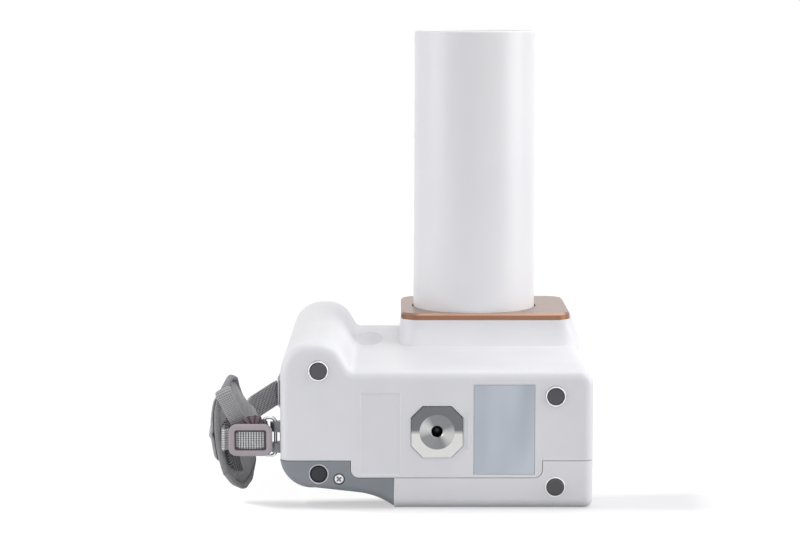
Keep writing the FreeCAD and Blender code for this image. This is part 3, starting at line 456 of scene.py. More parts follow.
WHITE_ABS = MouldedPlastic("abs_white_moulded", "#EDEDF1", "#E9E9ED", roughness=0.38,
                           grain_mm=0.45, relief_mm=0.01)
GREY_GRIP = MouldedPlastic("tpe_grip_grey", "#90959B", "#878D93", roughness=0.62, grain_mm=0.6,
                           relief_mm=0.03)
SATIN_PAINT = MouldedPlastic("cone_satin_paint", "#EFEFF2", "#EDEDF0", roughness=0.33,
                             grain_mm=0.9, relief_mm=0.004, drift=0.005)
# the plate's paler top tone is painted reflection of the white above it
ROSE_ANODISED = BrushedMetal("aluminium_anodised_rose", "#936D58", painted_top_light="#A38C81", metallic=0.95)
DARK_DISC = MouldedPlastic("aperture_dark_moulded", "#2B2C30", "#222327")
HEAD_STEEL = BrushedMetal("head_plated_steel", "#9EA1A6", roughness=0.4)
FACED_STEEL = TurnedSteel("stainless_faced")
FOOT_RUBBER = MouldedPlastic("rubber_foot_grey", "#5F5F63", "#535356", roughness=0.75,
                             grain_mm=0.4, relief_mm=0.05)
FOOT_DARK = MouldedPlastic("rubber_foot_dark", "#33353A", "#2A2C30", roughness=0.7, grain_mm=0.4,
                           relief_mm=0.05)
PLATE_FOIL = LabelFoil("label_silvered_film")
# pale metal rings round the feet's wells: painted highlight on the well rims
FOOT_RIM_HIGHLIGHT = BrushedMetal("foot_rim_painted_highlight_pale", "#E2E2E6", roughness=0.35)
FOOT_RIM_HIGHLIGHT_GREY = BrushedMetal("foot_rim_painted_highlight_grey", "#A9ADB2", roughness=0.35)
DARK_GLASS = MouldedPlastic("display_smoked_glass", "#15171A", "#121417", roughness=0.08,
                            grain_mm=5.0, relief_mm=0.001, coat=0.6)
KEY_FILM = MouldedPlastic("key_membrane_film", "#B9BCC2", "#AEB1B8", roughness=0.5, grain_mm=0.3,
                          relief_mm=0.02)
BUTTON = MouldedPlastic("button_moulded_amber", "#C98A2B", "#BD7F24", roughness=0.35)
PORT_RUBBER = MouldedPlastic("port_cover_rubber", "#8C9095", "#83878C", roughness=0.7,
                             relief_mm=0.03)
LUG_METAL = BrushedMetal("lug_die_cast_zinc", "#7C7D80", roughness=0.42, streak=EVEN_GRAIN)
CHROME_WIRE = BrushedMetal("ring_chromed_wire", "#DADBDD", roughness=0.16, streak=EVEN_GRAIN)
BUCKLE_NYLON = MouldedPlastic("buckle_nylon_mauve", "#B4ABB0", "#A59CA1", roughness=0.55,
                              grain_mm=0.7, relief_mm=0.04)
# dark ring inside the buckle's window: painted shadow
BUCKLE_INNER_SHADOW = MouldedPlastic("buckle_painted_inner_shadow", "#453F42", "#3B3638")
WEB_LIGHT = Webbing("webbing_light_grey", "#F0F0F1", "#68686B")
WEB_TAPE = Webbing("webbing_tape_grey", "#C2C2C4", "#8C8C8F", rib_mm=1.0)
WEB_DARK = Webbing("webbing_dark_grey", "#DAD8DA", "#403F42", rib_mm=1.35)
WEB_MAUVE = Webbing("webbing_mauve", "#96888E", "#584E52", rib_mm=1.1)
PAD_SUEDE = Suede("microfibre_suede", "#A6A6A7", "#727274", nap_mm=0.9)
PAD_DARK = Suede("microfibre_suede_dark", "#BCBCBF", "#A2A2A5")
TAPE = Webbing("binding_tape", "#B0B0B2", "#8A8A8D", rib_mm=0.7, float_mm=0.7)
LINING = MeshLining("spacer_mesh")
SCREW_STEEL = BrushedMetal("screw_nickel_plated", "#D2D3D5", roughness=0.22,
                           streak=(700.0, 700.0, 700.0))
# near black for pieces put where there is only shade: painted shadow in notches, gaps and the bore
SHADOW_GAP = MouldedPlastic("painted_shadow_gap", "#1A1A1B", "#151516")


def quads_of(index: Array) -> Array:
    """The quads between neighbouring points of a grid of point numbers, n by 4."""
    corners = [index[:-1, :-1], index[1:, :-1], index[1:, 1:], index[:-1, 1:]]
    return np.stack(corners, -1).reshape(-1, 4)


def make_piece(name: str, grid: Array, finish: Finish, body: Body,
               uv: Array | None = None, smooth: bool = True, closed: bool = False) -> Object:
    """Makes a closed piece from a grid of points and lets it ride on a body.

    Neighbouring points are joined by quads, and each row closes on itself. An open grid
    gets a flat face at each end. The signed volume, a sixth of the sum of each corner
    triple's product, tells which way round the faces go, and they are turned to point out.

    Args:
        name: Name of the piece.
        grid: Points in millimetres, rows by columns by 3.
        finish: The finish.
        body: Body that it rides on.
        uv: Lengths for the finish, rows by columns by 2.
        smooth: Whether the shading is smooth.
        closed: Whether the last row joins the first.

    Returns:
        The new object.
    """
    rows, columns = grid.shape[:2]
    index = np.arange(rows * columns).reshape(rows, columns)
    if closed:
        index = np.vstack([index, index[:1]])
    index = np.hstack([index, index[:, :1]])
    quads = quads_of(index)
    points = grid.reshape(-1, 3)
    a, b, c, d = (points[quads[:, k]] for k in range(4))
    middle = points.mean(axis=0)
    spin = (np.cross(a - middle, b - middle) * (c - middle)).sum()
    spin += (np.cross(a - middle, c - middle) * (d - middle)).sum()
    if spin < 0:
        quads = quads[:, ::-1]
    faces = quads.tolist()
    if not closed:
        first, last = index[0, :-1].tolist(), index[-1, :-1].tolist()
        faces += [first[::-1], last] if spin < 0 else [first, last[::-1]]
    mesh = bpy.data.meshes.new(name)
    mesh.from_pydata((points * MM).tolist(), [], faces)
    if uv is not None:
        layer = mesh.uv_layers.new(name="lengths")
        corners = np.empty(len(mesh.loops), dtype=np.int32)
        mesh.loops.foreach_get("vertex_index", corners)
        layer.data.foreach_set("uv", uv.reshape(-1, 2)[corners].astype(np.float32).ravel())
    mesh.polygons.foreach_set("use_smooth", np.full(len(mesh.polygons), smooth))
    mesh.materials.append(finish.material())
    made = new_object(name, mesh)
    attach(made, body.value)
    LOG.info("made %s, %d faces", name, len(mesh.polygons))
    return made


def resample(path: Array, count: int, closed: bool = False) -> Array:
    """Points spaced evenly along a path, by linear interpolation on its length.

    Args:
        path: Points, n by 3.
        count: Number of points wanted.
        closed: Whether the path returns to its start.

    Returns:
        The even points, count by 3.
    """
    line = np.vstack([path, path[:1]]) if closed else path
    lengths = np.concatenate([[0], np.cumsum(np.linalg.norm(np.diff(line, axis=0), axis=1))])
    wanted = np.linspace(0, lengths[-1], count, endpoint=not closed)
    return np.stack([np.interp(wanted, lengths, line[:, k]) for k in range(3)], axis=1)


def eased_path(points: list[Point], count: int, passes: int = 3) -> Array:
    """A path with its corners cut: each pass puts points at a quarter and at three
    quarters of every run, and keeps the two ends.

    Args:
        points: Corners of the path.
        count: Number of points wanted.
        passes: How often the corners are cut.

    Returns:
        Even points along the eased path.
    """
    line = np.array(points, dtype=float)
    for _ in range(passes):
        near = line[:-1] * 0.75 + line[1:] * 0.25
        far = line[:-1] * 0.25 + line[1:] * 0.75
        line = np.vstack([line[:1], np.stack([near, far], 1).reshape(-1, 3), line[-1:]])
    return resample(line, count)


def rounded_loop(half_x: float, half_z: float, corner: float, count: int) -> Array:
    """A rounded rectangle in the XZ plane: four quarter circles joined by straight runs.

    Args:
        half_x: Half of its width.
        half_z: Half of its height.
        corner: Radius of its corners.
        count: Number of points.

    Returns:
        Points, count by 3, with Y at 0.
    """
    turn = np.linspace(0, math.pi / 2, 24)
    corners = []
    for k, (sx, sz) in enumerate(((1, 1), (-1, 1), (-1, -1), (1, -1))):
        angle = turn + k * math.pi / 2
        corners.append(np.stack([sx * (half_x - corner) + corner * np.cos(angle), 0 * angle,
                                 sz * (half_z - corner) + corner * np.sin(angle)], axis=1))
    return resample(np.vstack(corners), count, closed=True)


def signed_power(values: Array, power: float) -> Array:
    """Values raised to a power, with their signs kept."""
    return np.sign(values) * np.abs(values) ** power


def polar(rows: Array, count: int) -> list[Array]:
    """The rows' values against even angles of one turn, as two grids."""
    return np.meshgrid(rows, np.linspace(0, 2 * math.pi, count, endpoint=False), indexing="ij")


def oval(width: float, height: float, count: int, square: float = 2.0) -> Array:
    """A superellipse: cosine and sine raised to 2 over its squareness, signs kept.

    Args:
        width: Full width.
        height: Full height.
        count: Number of points.
        square: 2 is an ellipse, and more is closer to a rectangle.

    Returns:
        Points, count by 2.
    """
    angle = np.linspace(0, 2 * math.pi, count, endpoint=False)
    return np.stack([signed_power(np.cos(angle), 2 / square) * width / 2,
                     signed_power(np.sin(angle), 2 / square) * height / 2], axis=1)


def swept(path: Array, across: Array, profile: Array,
          closed: bool = False) -> tuple[Array, Array]:
    """Carries a profile along a path. At each point the frame is the path's direction,
    the across vector made square to it, and the cross product of the two.

    Args:
        path: Points, n by 3.
        across: Direction of the profile's first axis, 3 or n by 3.
        profile: Closed outline, m by 2.
        closed: Whether the path returns to its start.

    Returns:
        The grid of points, and for each the length along the path and across the profile.
    """
    if closed:
        along = np.roll(path, -1, axis=0) - np.roll(path, 1, axis=0)
    else:
        along = np.gradient(path, axis=0)
    along /= np.linalg.norm(along, axis=1, keepdims=True)
    side = np.broadcast_to(across, path.shape).astype(float)
    side = side - along * (side * along).sum(axis=1, keepdims=True)
    side /= np.linalg.norm(side, axis=1, keepdims=True)
    out = np.cross(along, side)
    grid = (path[:, None] + side[:, None] * profile[None, :, :1]
            + out[:, None] * profile[None, :, 1:])
    steps = np.linalg.norm(np.diff(path, axis=0), axis=1)
    length = np.concatenate([[0], np.cumsum(steps)])
    uv = np.stack(np.broadcast_arrays(length[:, None], profile[None, :, 0]), axis=-1)
    return grid, uv


def wire(name: str, path: Array, profile: Array, finish: Finish, body: Body) -> Object:
    """Makes a piece from a profile that is carried round a closed path across Y."""
    grid, _ = swept(path, ALONG_Y, profile, closed=True)
    return make_piece(name, grid, finish, body, closed=True)


def box_mm(node: str) -> tuple[Array, Array]:
    """A CAD node's lowest and highest corners in millimetres."""
    low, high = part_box(node)
    return np.array(low) / MM, np.array(high) / MM


def dress(finishes: dict[str, Finish]) -> None:
    """Gives CAD nodes their finishes.

    Args:
        finishes: Node name to finish.
    """
    for name, finish in finishes.items():
        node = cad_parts[name]
        for slot in node.material_slots:
            slot.material = finish.material()
        LOG.info("dressed %s with %s", name, finish.label)


@dataclass
class Housing:
    """The moulded shells, the grip, their feet, and the screw beside the grip's foot."""

    screw_x: float = -71.0
    screw_z: float = 15.1
    screw_radius: float = 2.55
    screw_dome: float = 0.7
    cross_half: float = 1.55
    cross_width: float = 0.42
    cross_depth: float = 0.9
    cross_side: float = 0.16
    cross_end: float = 0.3
    screw_turn: float = 40.0
    screw_sunk: float = 0.25
    screw_length: float = 1.2
    rim_highlight_gap: float = 0.55
    rim_highlight_width: float = 0.7
    rim_highlight_sunk: float = 0.1
    seat_gap: float = 0.1
    seat_width: float = 0.5
    seat_sunk: float = 0.05
    ring_depth: float = 0.5

    def build(self) -> None:
        """Dresses the shells and feet and makes the painted highlight rings round the feet,
        the screw, and the painted shadow round the screw.
        """
        dress({"front_housing": WHITE_ABS, "rear_housing": WHITE_ABS, "grip_cover": GREY_GRIP,
               "foot_grip_front": FOOT_RUBBER, "foot_grip_rear": FOOT_DARK,
               "foot_right_front": FOOT_RUBBER, "foot_right_rear": FOOT_RUBBER,
               "label_plate": PLATE_FOIL, "port_cover": PORT_RUBBER,
               "exposure_button": BUTTON, "display_window": DARK_GLASS, "keypad": KEY_FILM,
               "tube_head": HEAD_STEEL})
        for foot, host in (("grip_front", "front_housing"), ("right_front", "front_housing"),
                           ("right_rear", "rear_housing"), ("grip_rear", "grip_cover")):
            # each ring is a painted highlight on a well's rim
            self.foot_rim_highlight(f"foot_{foot}", host, FOOT_RIM_HIGHLIGHT_GREY if host == "grip_cover" else FOOT_RIM_HIGHLIGHT)
        self.screw()
        self.screw_gap_shadow()

    def flush_ring(self, name: str, centre: Array, radius: float, width: float,
                   count: int, finish: Finish) -> None:
        """Makes a fine ring, flush with a face, of a number of points."""
        path = rounded_loop(radius, radius, radius - 0.01, count) + centre
        wire(name, path, oval(self.ring_depth, width, 12), finish, Body.UNIT)

    def foot_rim_highlight(self, foot: str, host: str, finish: Finish) -> None:
        """A thin pale metal ring round a foot's well: a painted highlight on the well's rim.

        Args:
            foot: CAD node of the foot.
            host: CAD node of the shell that it sits in.
            finish: The ring's finish.
        """
        low, high = box_mm(foot)
        centre = (low + high) / 2
        centre[1] = box_mm(host)[0][1] + self.rim_highlight_sunk
        radius = (high[0] - low[0]) / 2 + self.rim_highlight_gap
        self.flush_ring(f"{foot}_rim_highlight", centre, radius, self.rim_highlight_width, 96, finish)

    def screw(self) -> None:
        """The cross-head screw: a dome over the radius, less a smooth cross. The dome is
        1 less the fourth power of the radius, and each arm of the cross is a smooth step
        in the distance from its axis, faded out at its end."""
        face = box_mm("grip_cover")[0][1]
        radius, angle = polar(np.linspace(0.02, 1, 40), 96)
        x = radius * np.cos(angle) * self.screw_radius
        z = radius * np.sin(angle) * self.screw_radius
        turn = math.radians(self.screw_turn)
        u, v = x * math.cos(turn) + z * math.sin(turn), z * math.cos(turn) - x * math.sin(turn)
        arms = np.maximum(self.arm(u, v), self.arm(v, u))
        height = self.screw_dome * (1 - radius ** 4) - self.cross_depth * arms
        top = np.stack([x + self.screw_x, face - height + self.screw_sunk, z + self.screw_z],
                       axis=-1)
        foot = top[-1:].copy()
        foot[..., 1] = face + self.screw_length
        make_piece("grip_screw", np.vstack([top, foot]), SCREW_STEEL, Body.UNIT)

    def arm(self, along: Array, beside: Array) -> Array:
        """How deep one arm of the cross is: 1 on its axis, falling off beside it and
        past its end.

        Args:
            along: Distance along the arm.
            beside: Distance beside it.

        Returns:
            Depth from 0 to 1.
        """
        narrow = np.clip((self.cross_width - np.abs(beside)) / self.cross_side + 0.5, 0, 1)
        end = np.clip((self.cross_half - np.abs(along)) / self.cross_end, 0, 1)
        return narrow * end

    def screw_gap_shadow(self) -> None:
        """A thin flat dark ring round the screw: painted shadow of the gap in its countersink."""
        face = box_mm("grip_cover")[0][1]
        centre = np.array([self.screw_x, face + self.seat_sunk, self.screw_z])
        # dark ring where the gap has only shade: painted shadow
        self.flush_ring("grip_screw_gap_shadow", centre, self.screw_radius + self.seat_gap,
                        self.seat_width, 64, SHADOW_GAP)


@dataclass
class BeamCone:
    """The trim plate, the cone with its aperture, and two dark marks at its foot: painted
    shadow of the notches there.
    """

    notch_shade_width: float = 1.0
    notch_shade_length: float = 4.0
    notch_shade_height: float = 1.1
    notch_shade_out: float = 0.2
    notch_shade_near: float = 1.0

    def build(self) -> None:
        """Dresses the plate, cone and disc and makes the painted notch shadows."""
        dress({"trim_plate": ROSE_ANODISED, "cone": SATIN_PAINT, "aperture_disc": DARK_DISC})
        top = box_mm("trim_plate")[1][2]
        reach = box_mm("cone")[1][0]
        y = np.linspace(-self.notch_shade_length / 2, self.notch_shade_length / 2, 12) - self.notch_shade_near
        for side, name in ((-1, "left"), (1, "right")):
            x = np.full_like(y, side * (reach + self.notch_shade_out))
            path = np.stack([x, y, np.full_like(y, top)], axis=1)
            grid, _ = swept(path, np.array([1.0, 0.0, 0.0]),
                            oval(self.notch_shade_width, self.notch_shade_height, 16, 4))
            # dark bars where the notches hold only shade: painted shadow
            make_piece(f"cone_notch_shade_{name}", grid, SHADOW_GAP, Body.UNIT)


@dataclass
class TripodSocket:
    """The steel plate with its dish and threaded hole."""

    x: float = -22.0
    z: float = 39.0
    room: float = 3.5
    end: tuple[float, float] = (0.3, 1.3)

    def build(self) -> None:
        """Dresses the plate and puts a dark disc just behind the bore: painted shade of the
        hole's depth.
        """
        dress({"tripod_plate": FACED_STEEL})
        y, angle = polar(box_mm("tripod_plate")[1][1] + np.array(self.end), 32)
        grid = np.stack([self.x + self.room * np.cos(angle), y,
                         self.z + self.room * np.sin(angle)], axis=-1)
        # dark disc in the hole: painted shade
        make_piece("tripod_bore_painted_shade", grid, SHADOW_GAP, Body.UNIT)


@dataclass
class HandStrap:
    """The padded strap with its rings, webbing, buckle, binding and lining."""

    wire: float = 0.9
    ring_corner: float = 2.4
    web_width: float = 12.0
    web_thick: float = 1.4
    buckle_rim: float = 3.1
    buckle_corner: float = 4.2
    reach: float = -132.9
    reach_z: float = 42.0
    top_x: float = -129.4
    foot_x: float = -123.2
    crown: float = 2.3
    near_inset: float = 1.6
    end_run: float = 0.05
    hand_growth: float = 1.3
    growth_start: float = 0.14
    growth_run: float = 0.3
    cover_middle: float = 0.12
    cover_half: float = 0.6
    cover_off: float = 1.6
    cover_swell: float = 0.8
    ridge_at: float = 0.2
    ridge_half: float = 0.08
    lining_off: float = 1.0
    lining_half: float = 0.5
    lining_height: float = 29.0
    bead_width: float = 3.2
    bead_height: float = 2.6
    eye_share: float = 0.33
    eye_half: float = 0.17
    lug_waist: float = 0.25
    cap_mm: float = 0.9
    voxel_mm: float = 1.7
    pressure: float = 4.0
    tension: float = 20.0
    bending: float = 0.6
    frames: int = 20
    shares: tuple[float, ...] = (0.0, 0.06, 0.17, 0.35, 0.6, 0.85, 1.0)
    rim_tops: tuple[float, ...] = (47.0, 56.0, 61.5, 57.0, 43.5, 34.5, 30.0)
    rim_feet: tuple[float, ...] = (16.0, 9.0, 4.0, 4.2, 8.5, 16.0, 20.0)
    leans: tuple[float, ...] = (0.0, 0.9, 2.6, 4.6, 6.8, 6.4, 5.4)

    def build(self) -> None:
        """Makes every piece of the strap."""
        self.lugs()
        self.low, self.high = box_mm("strap_pad")
        self.rings()
        self.buckle()
        self.webbing_near()
        self.webbing_far()
        self.tape()
        self.cushion()
        self.lining()
        self.binding()
        self.cover()

    def lugs(self) -> None:
        """The two lugs: a thin plate on the wall with an eye near each end. A D-shaped
        outline is stacked up in height, and its round side draws back between the eyes."""
        for node in ("lug_near", "lug_far"):
            low, high = box_mm(node)
            z = np.linspace(low[2], high[2], 97)
            share = (z - low[2]) / (high[2] - low[2])
            beside = np.abs(np.abs(share - 0.5) - self.eye_share)
            eye = np.clip((self.eye_half - beside) / 0.02, 0, 1)
            angle = np.linspace(-math.pi / 2, math.pi / 2, 24)
            half = (high[1] - low[1]) / 2
            reach = (high[0] - low[0] - half) * eye + 0.1
            bulge = self.lug_waist + (1 - self.lug_waist) * eye[:, None]
            round_x = high[0] - reach[:, None] - half * np.cos(angle) * bulge
            round_y = (low[1] + high[1]) / 2 + half * np.sin(angle)
            x = np.concatenate([round_x, np.full((97, 2), high[0])], axis=1)
            y = np.broadcast_to(np.concatenate([round_y, [high[1], low[1]]]), x.shape)
            grid = np.stack([x, y, np.broadcast_to(z[:, None], x.shape)], axis=-1)
            made = make_piece(f"{node}_eyes", grid, LUG_METAL, Body.UNIT, smooth=False)
            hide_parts(node)

    def rings(self) -> None:
        """The two wire rings: a round wire along a rounded rectangle."""
        for name, body in (("ring_near", Body.NEAR_RING), ("ring_far", Body.FAR_RING)):
            low, high = box_mm(name)
            half = (high - low) / 2
            path = rounded_loop(half[0] - self.wire, half[2] - self.wire, self.ring_corner, 160)
            made = wire(f"{name}_wire", path + (low + high) / 2,
                        oval(2 * self.wire, 2 * self.wire, 20), CHROME_WIRE, body)
            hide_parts(name)

    def buckle(self) -> None:
        """The buckle, a soft-edged band along a rounded rectangle, and a dark ring inside it:
        painted shadow of its window's inner rim."""
        low, high = box_mm("strap_buckle")
        half, centre = (high - low) / 2, (low + high) / 2
        rim = self.buckle_rim
        path = rounded_loop(half[0] - rim / 2, half[2] - rim / 2, self.buckle_corner - rim / 2, 200)
        made = wire("strap_slide_buckle", path + centre, oval(high[1] - low[1], rim, 28, 3.2),
                    BUCKLE_NYLON, Body.STRAP)
        inner = rounded_loop(half[0] - rim - 0.2, half[2] - rim - 0.2, 2.0, 120) + centre
        inner += 0.35 * ALONG_Y
        # painted shadow along the window's inner rim
        edge = wire("strap_buckle_painted_inner_shadow", inner, oval(2.4, 1.3, 16, 3.0), BUCKLE_INNER_SHADOW,
                    Body.STRAP)
        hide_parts("strap_buckle")

    def strip(self, name: str, points: list[Point], finish: Finish, width: float,
              across: Point = (0.0, 0.0, 1.0), thick: float | None = None,
              square: float = 7.0) -> Object:
        """A flat strip of webbing along a path.

        Args:
            name: Name of the piece.
            points: Corners of its path.
            finish: Its finish.
            width: Its width.
            across: Direction of its width.
            thick: Its thickness, or None for the webbing's.
            square: How square its profile is.

        Returns:
            The strip.
        """
        path = eased_path(points, 150)
        profile = oval(width, thick or self.web_thick, 28, square)
        grid, uv = swept(path, np.array(across), profile)
        return make_piece(name, grid, finish, Body.STRAP, uv)

    def ring_turn(self, ring: str, start: float, end: float, lift: float) -> list[Point]:
        """Points of the webbing's turn round a ring's outer bar, on a circle through the
        middle of the webbing.

        Args:
            ring: CAD node of the ring.
            start: First angle in degrees, from +X towards +Y.
            end: Last angle.
            lift: Height of the points.

        Returns:
            The points.
        """
        low, high = box_mm(ring)
        centre = (low[0] + self.wire, (low[1] + high[1]) / 2)
        radius = self.wire + 0.3 + self.web_thick / 2
        return [(centre[0] + radius * math.cos(a), centre[1] + radius * math.sin(a), lift)
                for a in np.radians(np.linspace(start, end, 9))]

    def webbing_near(self) -> None:
        """The near webbing: out of the pad, under the buckle's left bar, up through its
        window and under its right bar to the ring, and the pass that comes back."""
        low, high = box_mm("strap_buckle")
        z = (low[2] + high[2]) / 2
        back = high[1] + self.web_thick / 2
        face = back - 2.0
        made = self.strip("webbing_near_strip", [
            (-129.8, -96.0, z), (-129.8, back - 3.0, z), (-128.2, back, z),
            (low[0] + 2.0, back, z), (low[0] + 4.5, face, z), (high[0] - 4.5, face, z),
            (high[0] - 2.0, back + 0.2, z), *self.ring_turn("ring_near", 225, 400, z + 1)],
            WEB_LIGHT, self.web_width - 1.2)
        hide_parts("webbing_near")
        bar = self.ring_turn("ring_near", 330, 140, z + 2.4)
        back_pass = self.strip("webbing_near_return", [
            *bar, (bar[-1][0] - 1.2, back + 1.7, z + 5.6), (bar[-1][0] - 4, back + 1.7, z + 6.2),
            (-117.0, back + 1.6, z + 4.2), (low[0] + 3, back + 1.5, z + 1.8)], WEB_MAUVE,
            self.web_width)

    def webbing_far(self) -> None:
        """The far webbing, from inside the pad's far end round the far ring's bar."""
        low, high = box_mm("webbing_far")
        z = (low[2] + high[2]) / 2
        made = self.strip("webbing_far_strip", [
            (low[0] + 1.0, low[1] - 22, z - 9), (low[0] + 1.2, low[1] + 1, z - 7.2),
            (low[0] + 5.0, low[1] + 8, z - 6.0),
            *self.ring_turn("ring_far", 140, -30, z - 1.6)], WEB_DARK, self.web_width + 2.2)
        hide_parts("webbing_far")

    def tape(self) -> None:
        """The light woven tape that crosses from behind the buckle up over the pad."""
        made = self.strip("strap_cross_tape", [
            (-118.0, -107.5, 34.0), (-121.0, -109.0, 40.5), (-125.4, -112.0, 49.5),
            (-127.6, -112.8, 54.2), (-129.0, -112.6, 57.2), (-129.6, -110.0, 58.4),
            (-129.6, -106.5, 56.6), (-129.2, -106.0, 53.5)], WEB_TAPE, self.web_width - 3.6,
            across=(0.9, 0.0, 0.44), thick=2.4, square=2.6)

    def bow(self, z: Array, s: Array) -> Array:
        """The bow of the pad's middle surface: a power of the height above its outermost
        line, another below it, and a lean inwards along its length.

        Args:
            z: Heights.
            s: Share of the pad's length, from its near end.

        Returns:
            The X of the surface.
        """
        over = (z - self.reach_z) / (self.high[2] - self.reach_z)
        under = (self.reach_z - z) / (self.reach_z - self.low[2])
        top = self.reach + (self.top_x - self.reach) * np.clip(over, 0, None) ** 2
        foot = (self.foot_x - self.reach) * np.clip(under, 0, None) ** 2.2
        return top + foot + self.eased(self.leans, s)

    def eased(self, values: tuple[float, ...], s: Array) -> Array:
        """A length of the pad from its values at a few shares. The straight runs between
        them are averaged over a twelfth of the length with a raised cosine, which
        rounds their corners.

        Args:
            values: The values at the shares.
            s: Share of the pad's length.

        Returns:
            The length at each share.
        """
        even = np.linspace(-0.2, 1.2, 701)
        window = np.hanning(43)
        run = np.interp(even, self.shares, values)
        return np.interp(s, even, np.convolve(run, window / window.sum(), mode="same"))

    def pad_point(self, s: Array, t: Array, off: Array) -> Array:
        """A point of the pad from its length share, its share across and its offset.

        The height runs from rim to rim with t from -1 to 1, the length follows s, the
        bow gives X, and the offset goes out along the bow's normal, whose slope is the
        bow's difference over a tenth of a millimetre.

        Args:
            s: Share of the length.
            t: Share across, from -1 at the lower rim to 1 at the upper.
            off: Offset, positive away from the hand.

        Returns:
            Points, with a last axis of 3.
        """
        lower, upper = self.eased(self.rim_feet, s), self.eased(self.rim_tops, s)
        z = lower + (upper - lower) * (t + 1) / 2
        x = self.bow(z, s)
        slope = (self.bow(z + 0.05, s) - self.bow(z - 0.05, s)) / 0.1
        size = np.sqrt(1 + slope ** 2)
        y = self.low[1] + self.near_inset + (self.high[1] - self.low[1] - self.near_inset) * s
        return np.stack([x - off / size, y, z + off * slope / size], axis=-1)

    def cushion(self) -> None:
        """The stuffed pad: round each cross-section the share across is the cosine of an
        angle and the offset its sine, times a crown that closes at both ends and grows
        on the hand's side. The closed form is blown up a little as cloth."""
        s, angle = polar(np.linspace(0, 1, 72), 96)
        ends = np.clip(np.minimum(s / self.end_run, (1 - s) / self.end_run), 0.12, 1) ** 0.5
        swell = signed_power(np.sin(angle), 0.85)
        growth = np.clip((s - self.growth_start) / self.growth_run, 0, 1)
        swell *= np.where(swell < 0, 1 + self.hand_growth * growth, 1)
        grid = self.pad_point(s, np.cos(angle), self.crown * ends * swell)
        made = make_piece("strap_cushion", grid, PAD_SUEDE, Body.STRAP)
        self.inflate(made)
        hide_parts("strap_pad")

    def inflate(self, piece: Object) -> None:
        """Blows the pad up as cloth. A point may move by no more than the cap.

        Args:
            piece: The closed pad.
        """
        remesh = piece.modifiers.new("even", "REMESH")
        remesh.mode = "VOXEL"
        remesh.voxel_size = self.voxel_mm * MM
        remesh.use_smooth_shade = True
        even = piece.evaluated_get(bpy.context.evaluated_depsgraph_get())
        even = bpy.data.meshes.new_from_object(even)
        piece.modifiers.clear()
        piece.data = even
        before = self.points(piece)
        cloth = piece.modifiers.new("stuffing", "CLOTH")
        cloth.settings.use_pressure = True
        cloth.settings.uniform_pressure_force = self.pressure
        cloth.settings.effector_weights.gravity = 0.0
        cloth.settings.tension_stiffness = self.tension
        cloth.settings.bending_stiffness = self.bending
        scene = bpy.context.scene
        for number in range(1, self.frames + 1):
            scene.frame_set(number)
        shaped = piece.evaluated_get(bpy.context.evaluated_depsgraph_get())
        move = self.points(shaped) - before
        size = np.linalg.norm(move, axis=1, keepdims=True)
        move *= np.minimum(1, self.cap_mm * MM / np.maximum(size, 1e-9))
        piece.modifiers.clear()
        scene.frame_set(1)
        piece.data.vertices.foreach_set("co", (before + move).ravel())
        finer = piece.modifiers.new("finer", "SUBSURF")
        finer.levels = finer.render_levels = 1
        LOG.info("inflated %s, %d points, most %.2f mm", piece.name, len(move), size.max() / MM)

    def points(self, piece: Object) -> Array:
        """A piece's vertices, n by 3, in metres."""
        places = np.empty(len(piece.data.vertices) * 3)
        piece.data.vertices.foreach_get("co", places)
        return places.reshape(-1, 3)

    def lining(self) -> None:
        """The mesh lining in the hollow of the pad: a sheet on shares of the length and
        across, laid a hair over the pad's inner face."""
        s, t = np.meshgrid(np.linspace(0.015, 0.5, 120), np.linspace(-0.75, 0.4, 60),
                           indexing="ij")
        inner = -(self.crown + self.lining_off) * (1 - t ** 2) ** 0.35
        upper = self.pad_point(s, t, inner - self.lining_half)
        under = self.pad_point(s, t[:, ::-1], inner + self.lining_half)
        grid = np.concatenate([upper, under], axis=1)
        uv = np.stack([s * (self.high[1] - self.low[1]), t * self.lining_height],
                      axis=-1)
        uv = np.concatenate([uv, uv[:, ::-1]], axis=1)
        made = make_piece("strap_mesh_lining", grid, LINING, Body.STRAP, uv)

    def binding(self) -> None:
        """The rolled binding round the pad's rim: a soft round bead along the rim."""
        run, cross = np.linspace(0, 1, 120), np.linspace(-1, 1, 40)[1:-1]
        s = np.concatenate([np.zeros_like(cross), run, np.ones_like(cross), run[::-1]])
        t = np.concatenate([cross, np.ones_like(run), cross[::-1], -np.ones_like(run)])
        path = resample(self.pad_point(s, t, np.zeros_like(s)), 360, closed=True)
        bead = oval(self.bead_width, self.bead_height, 18, 2.4)
        grid, uv = swept(path, np.array([1.0, 0.0, 0.0]), bead, closed=True)
        made = make_piece("strap_edge_binding", grid, TAPE, Body.STRAP, uv, closed=True)

    def cover(self) -> None:
        """The outer layer sewn over the pad's back: a sheet with eased ends whose middle
        comes to a low ridge."""
        s, angle = polar(np.linspace(0.0, 0.94, 90), 72)
        t = self.cover_middle + self.cover_half * np.cos(angle)
        ridge = np.exp(-((t - self.ridge_at) / self.ridge_half) ** 2)
        swell = signed_power(np.sin(angle), 0.4)
        off = self.crown * (0.5 + 0.5 * np.clip(s / 0.08, 0, 1)) + self.cover_off + ridge
        off += self.cover_swell * swell
        made = make_piece("strap_outer_cover", self.pad_point(s, t, off), PAD_DARK, Body.STRAP)


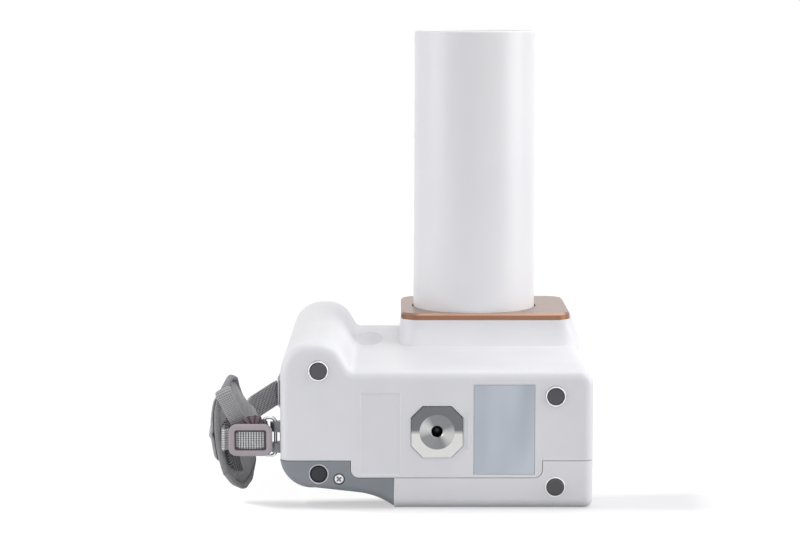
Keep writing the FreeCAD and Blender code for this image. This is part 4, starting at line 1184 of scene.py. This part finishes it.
@dataclass
class Studio:
    """The camera at the photograph's angle, soft lamps, and a pale floor and backdrop."""

    eye: Point = (-0.0405, -1.213, 0.2505)
    pitch: float = 6.7
    lens: float = 100.0
    fill: float = 0.37

    def build(self) -> None:
        """Sets up the view, the light and the stage."""
        self.camera()
        self.lamp("top_softbox", (0.45, 0.1, 1.25), (0.0, 0.0, 0.05), 1.4, 10.4)
        self.lamp("left_softbox", (-1.2, -0.3, 0.5), (0.0, 0.0, 0.1), 0.8, 5.2)
        self.lamp("right_softbox", (1.2, -0.2, 0.4), (0.0, 0.0, 0.1), 0.8, 6.4)
        self.lamp("front_softbox", (0.0, -1.6, 0.9), (0.0, 0.0, 0.08), 0.8, 1.3)
        self.lamp("low_softbox", (0.3, -1.3, 0.25), (0.0, 0.0, 0.02), 0.5, 0.7)
        self.world()
        ground = self.floor()
        only = bpy.data.collections.new("floor_lit_alone")
        only.objects.link(ground)
        for side, name, power in ((-1, "left_floor_lamp", 15.0), (1, "right_floor_lamp", 0.4)):
            lamp = self.lamp(name, (side * 0.65, 0.0, 0.75), (0.0, -0.1, 0.0), 0.3, power)
            lamp.light_linking.receiver_collection = only

    def camera(self) -> None:
        """The camera, level and pitched down."""
        lens = bpy.data.cameras.new("photo_camera")
        lens.lens, lens.sensor_width = self.lens, 36.0
        lens.clip_start, lens.clip_end = 0.01, 50.0
        made = new_object("photo_camera", lens)
        made.location = self.eye
        made.rotation_euler = (math.radians(90 - self.pitch), 0.0, 0.0)
        bpy.context.scene.camera = made

    def lamp(self, name: str, place: Point, target: Point, size: float, power: float) -> Object:
        """A square softbox that faces a target.

        Args:
            name: Name of the lamp.
            place: Where it stands, in metres.
            target: What it faces.
            size: Its side.
            power: Its power in watts.

        Returns:
            The lamp.
        """
        light = bpy.data.lights.new(name, "AREA")
        light.shape, light.size, light.energy = "SQUARE", size, power
        made = new_object(name, light)
        made.location = place
        away = np.array(target) - np.array(place)
        made.rotation_euler = (math.acos(-away[2] / np.linalg.norm(away)), 0.0,
                               math.atan2(away[1], away[0]) - math.pi / 2)
        return made

    def world(self) -> None:
        """A white sky for the eye and for reflections, and a softer fill for the rest."""
        made = bpy.data.worlds.new("studio_white")
        bpy.context.scene.world = made
        nodes = fresh_nodes(made)
        strength = nodes.scaled(nodes.seen(), 0.0, 1.0, self.fill, 1.0)
        white = nodes.add("Background", {"Color": (1.0, 1.0, 1.0, 1.0), "Strength": strength})
        nodes.add("OutputWorld", {"Surface": white})
        bpy.context.scene.view_settings.view_transform = "Standard"

    def floor(self) -> Object:
        """The floor, a large flat sheet.

        Returns:
            The floor.
        """
        edge = np.linspace(-3000, 3000, 3)
        x, y = np.meshgrid(edge, edge, indexing="ij")
        grid = np.stack([x, y, np.zeros_like(x)], axis=-1)
        mesh = bpy.data.meshes.new("studio_floor")
        quads = quads_of(np.arange(9).reshape(3, 3))
        mesh.from_pydata((grid.reshape(-1, 3) * MM).tolist(), [], quads.tolist())
        mesh.materials.append(StudioPaper("floor_matt_paper").material())
        made = new_object("studio_floor", mesh)
        return made


def main() -> None:
    """Builds the studio and each sub-assembly in order."""
    logging.basicConfig(level=logging.INFO, format="%(name)s: %(message)s")
    for part in (Studio(), Housing(), BeamCone(), TripodSocket(), HandStrap()):
        part.build()
        LOG.info("built %s", type(part).__name__)


if __name__ == "__main__":
    main()
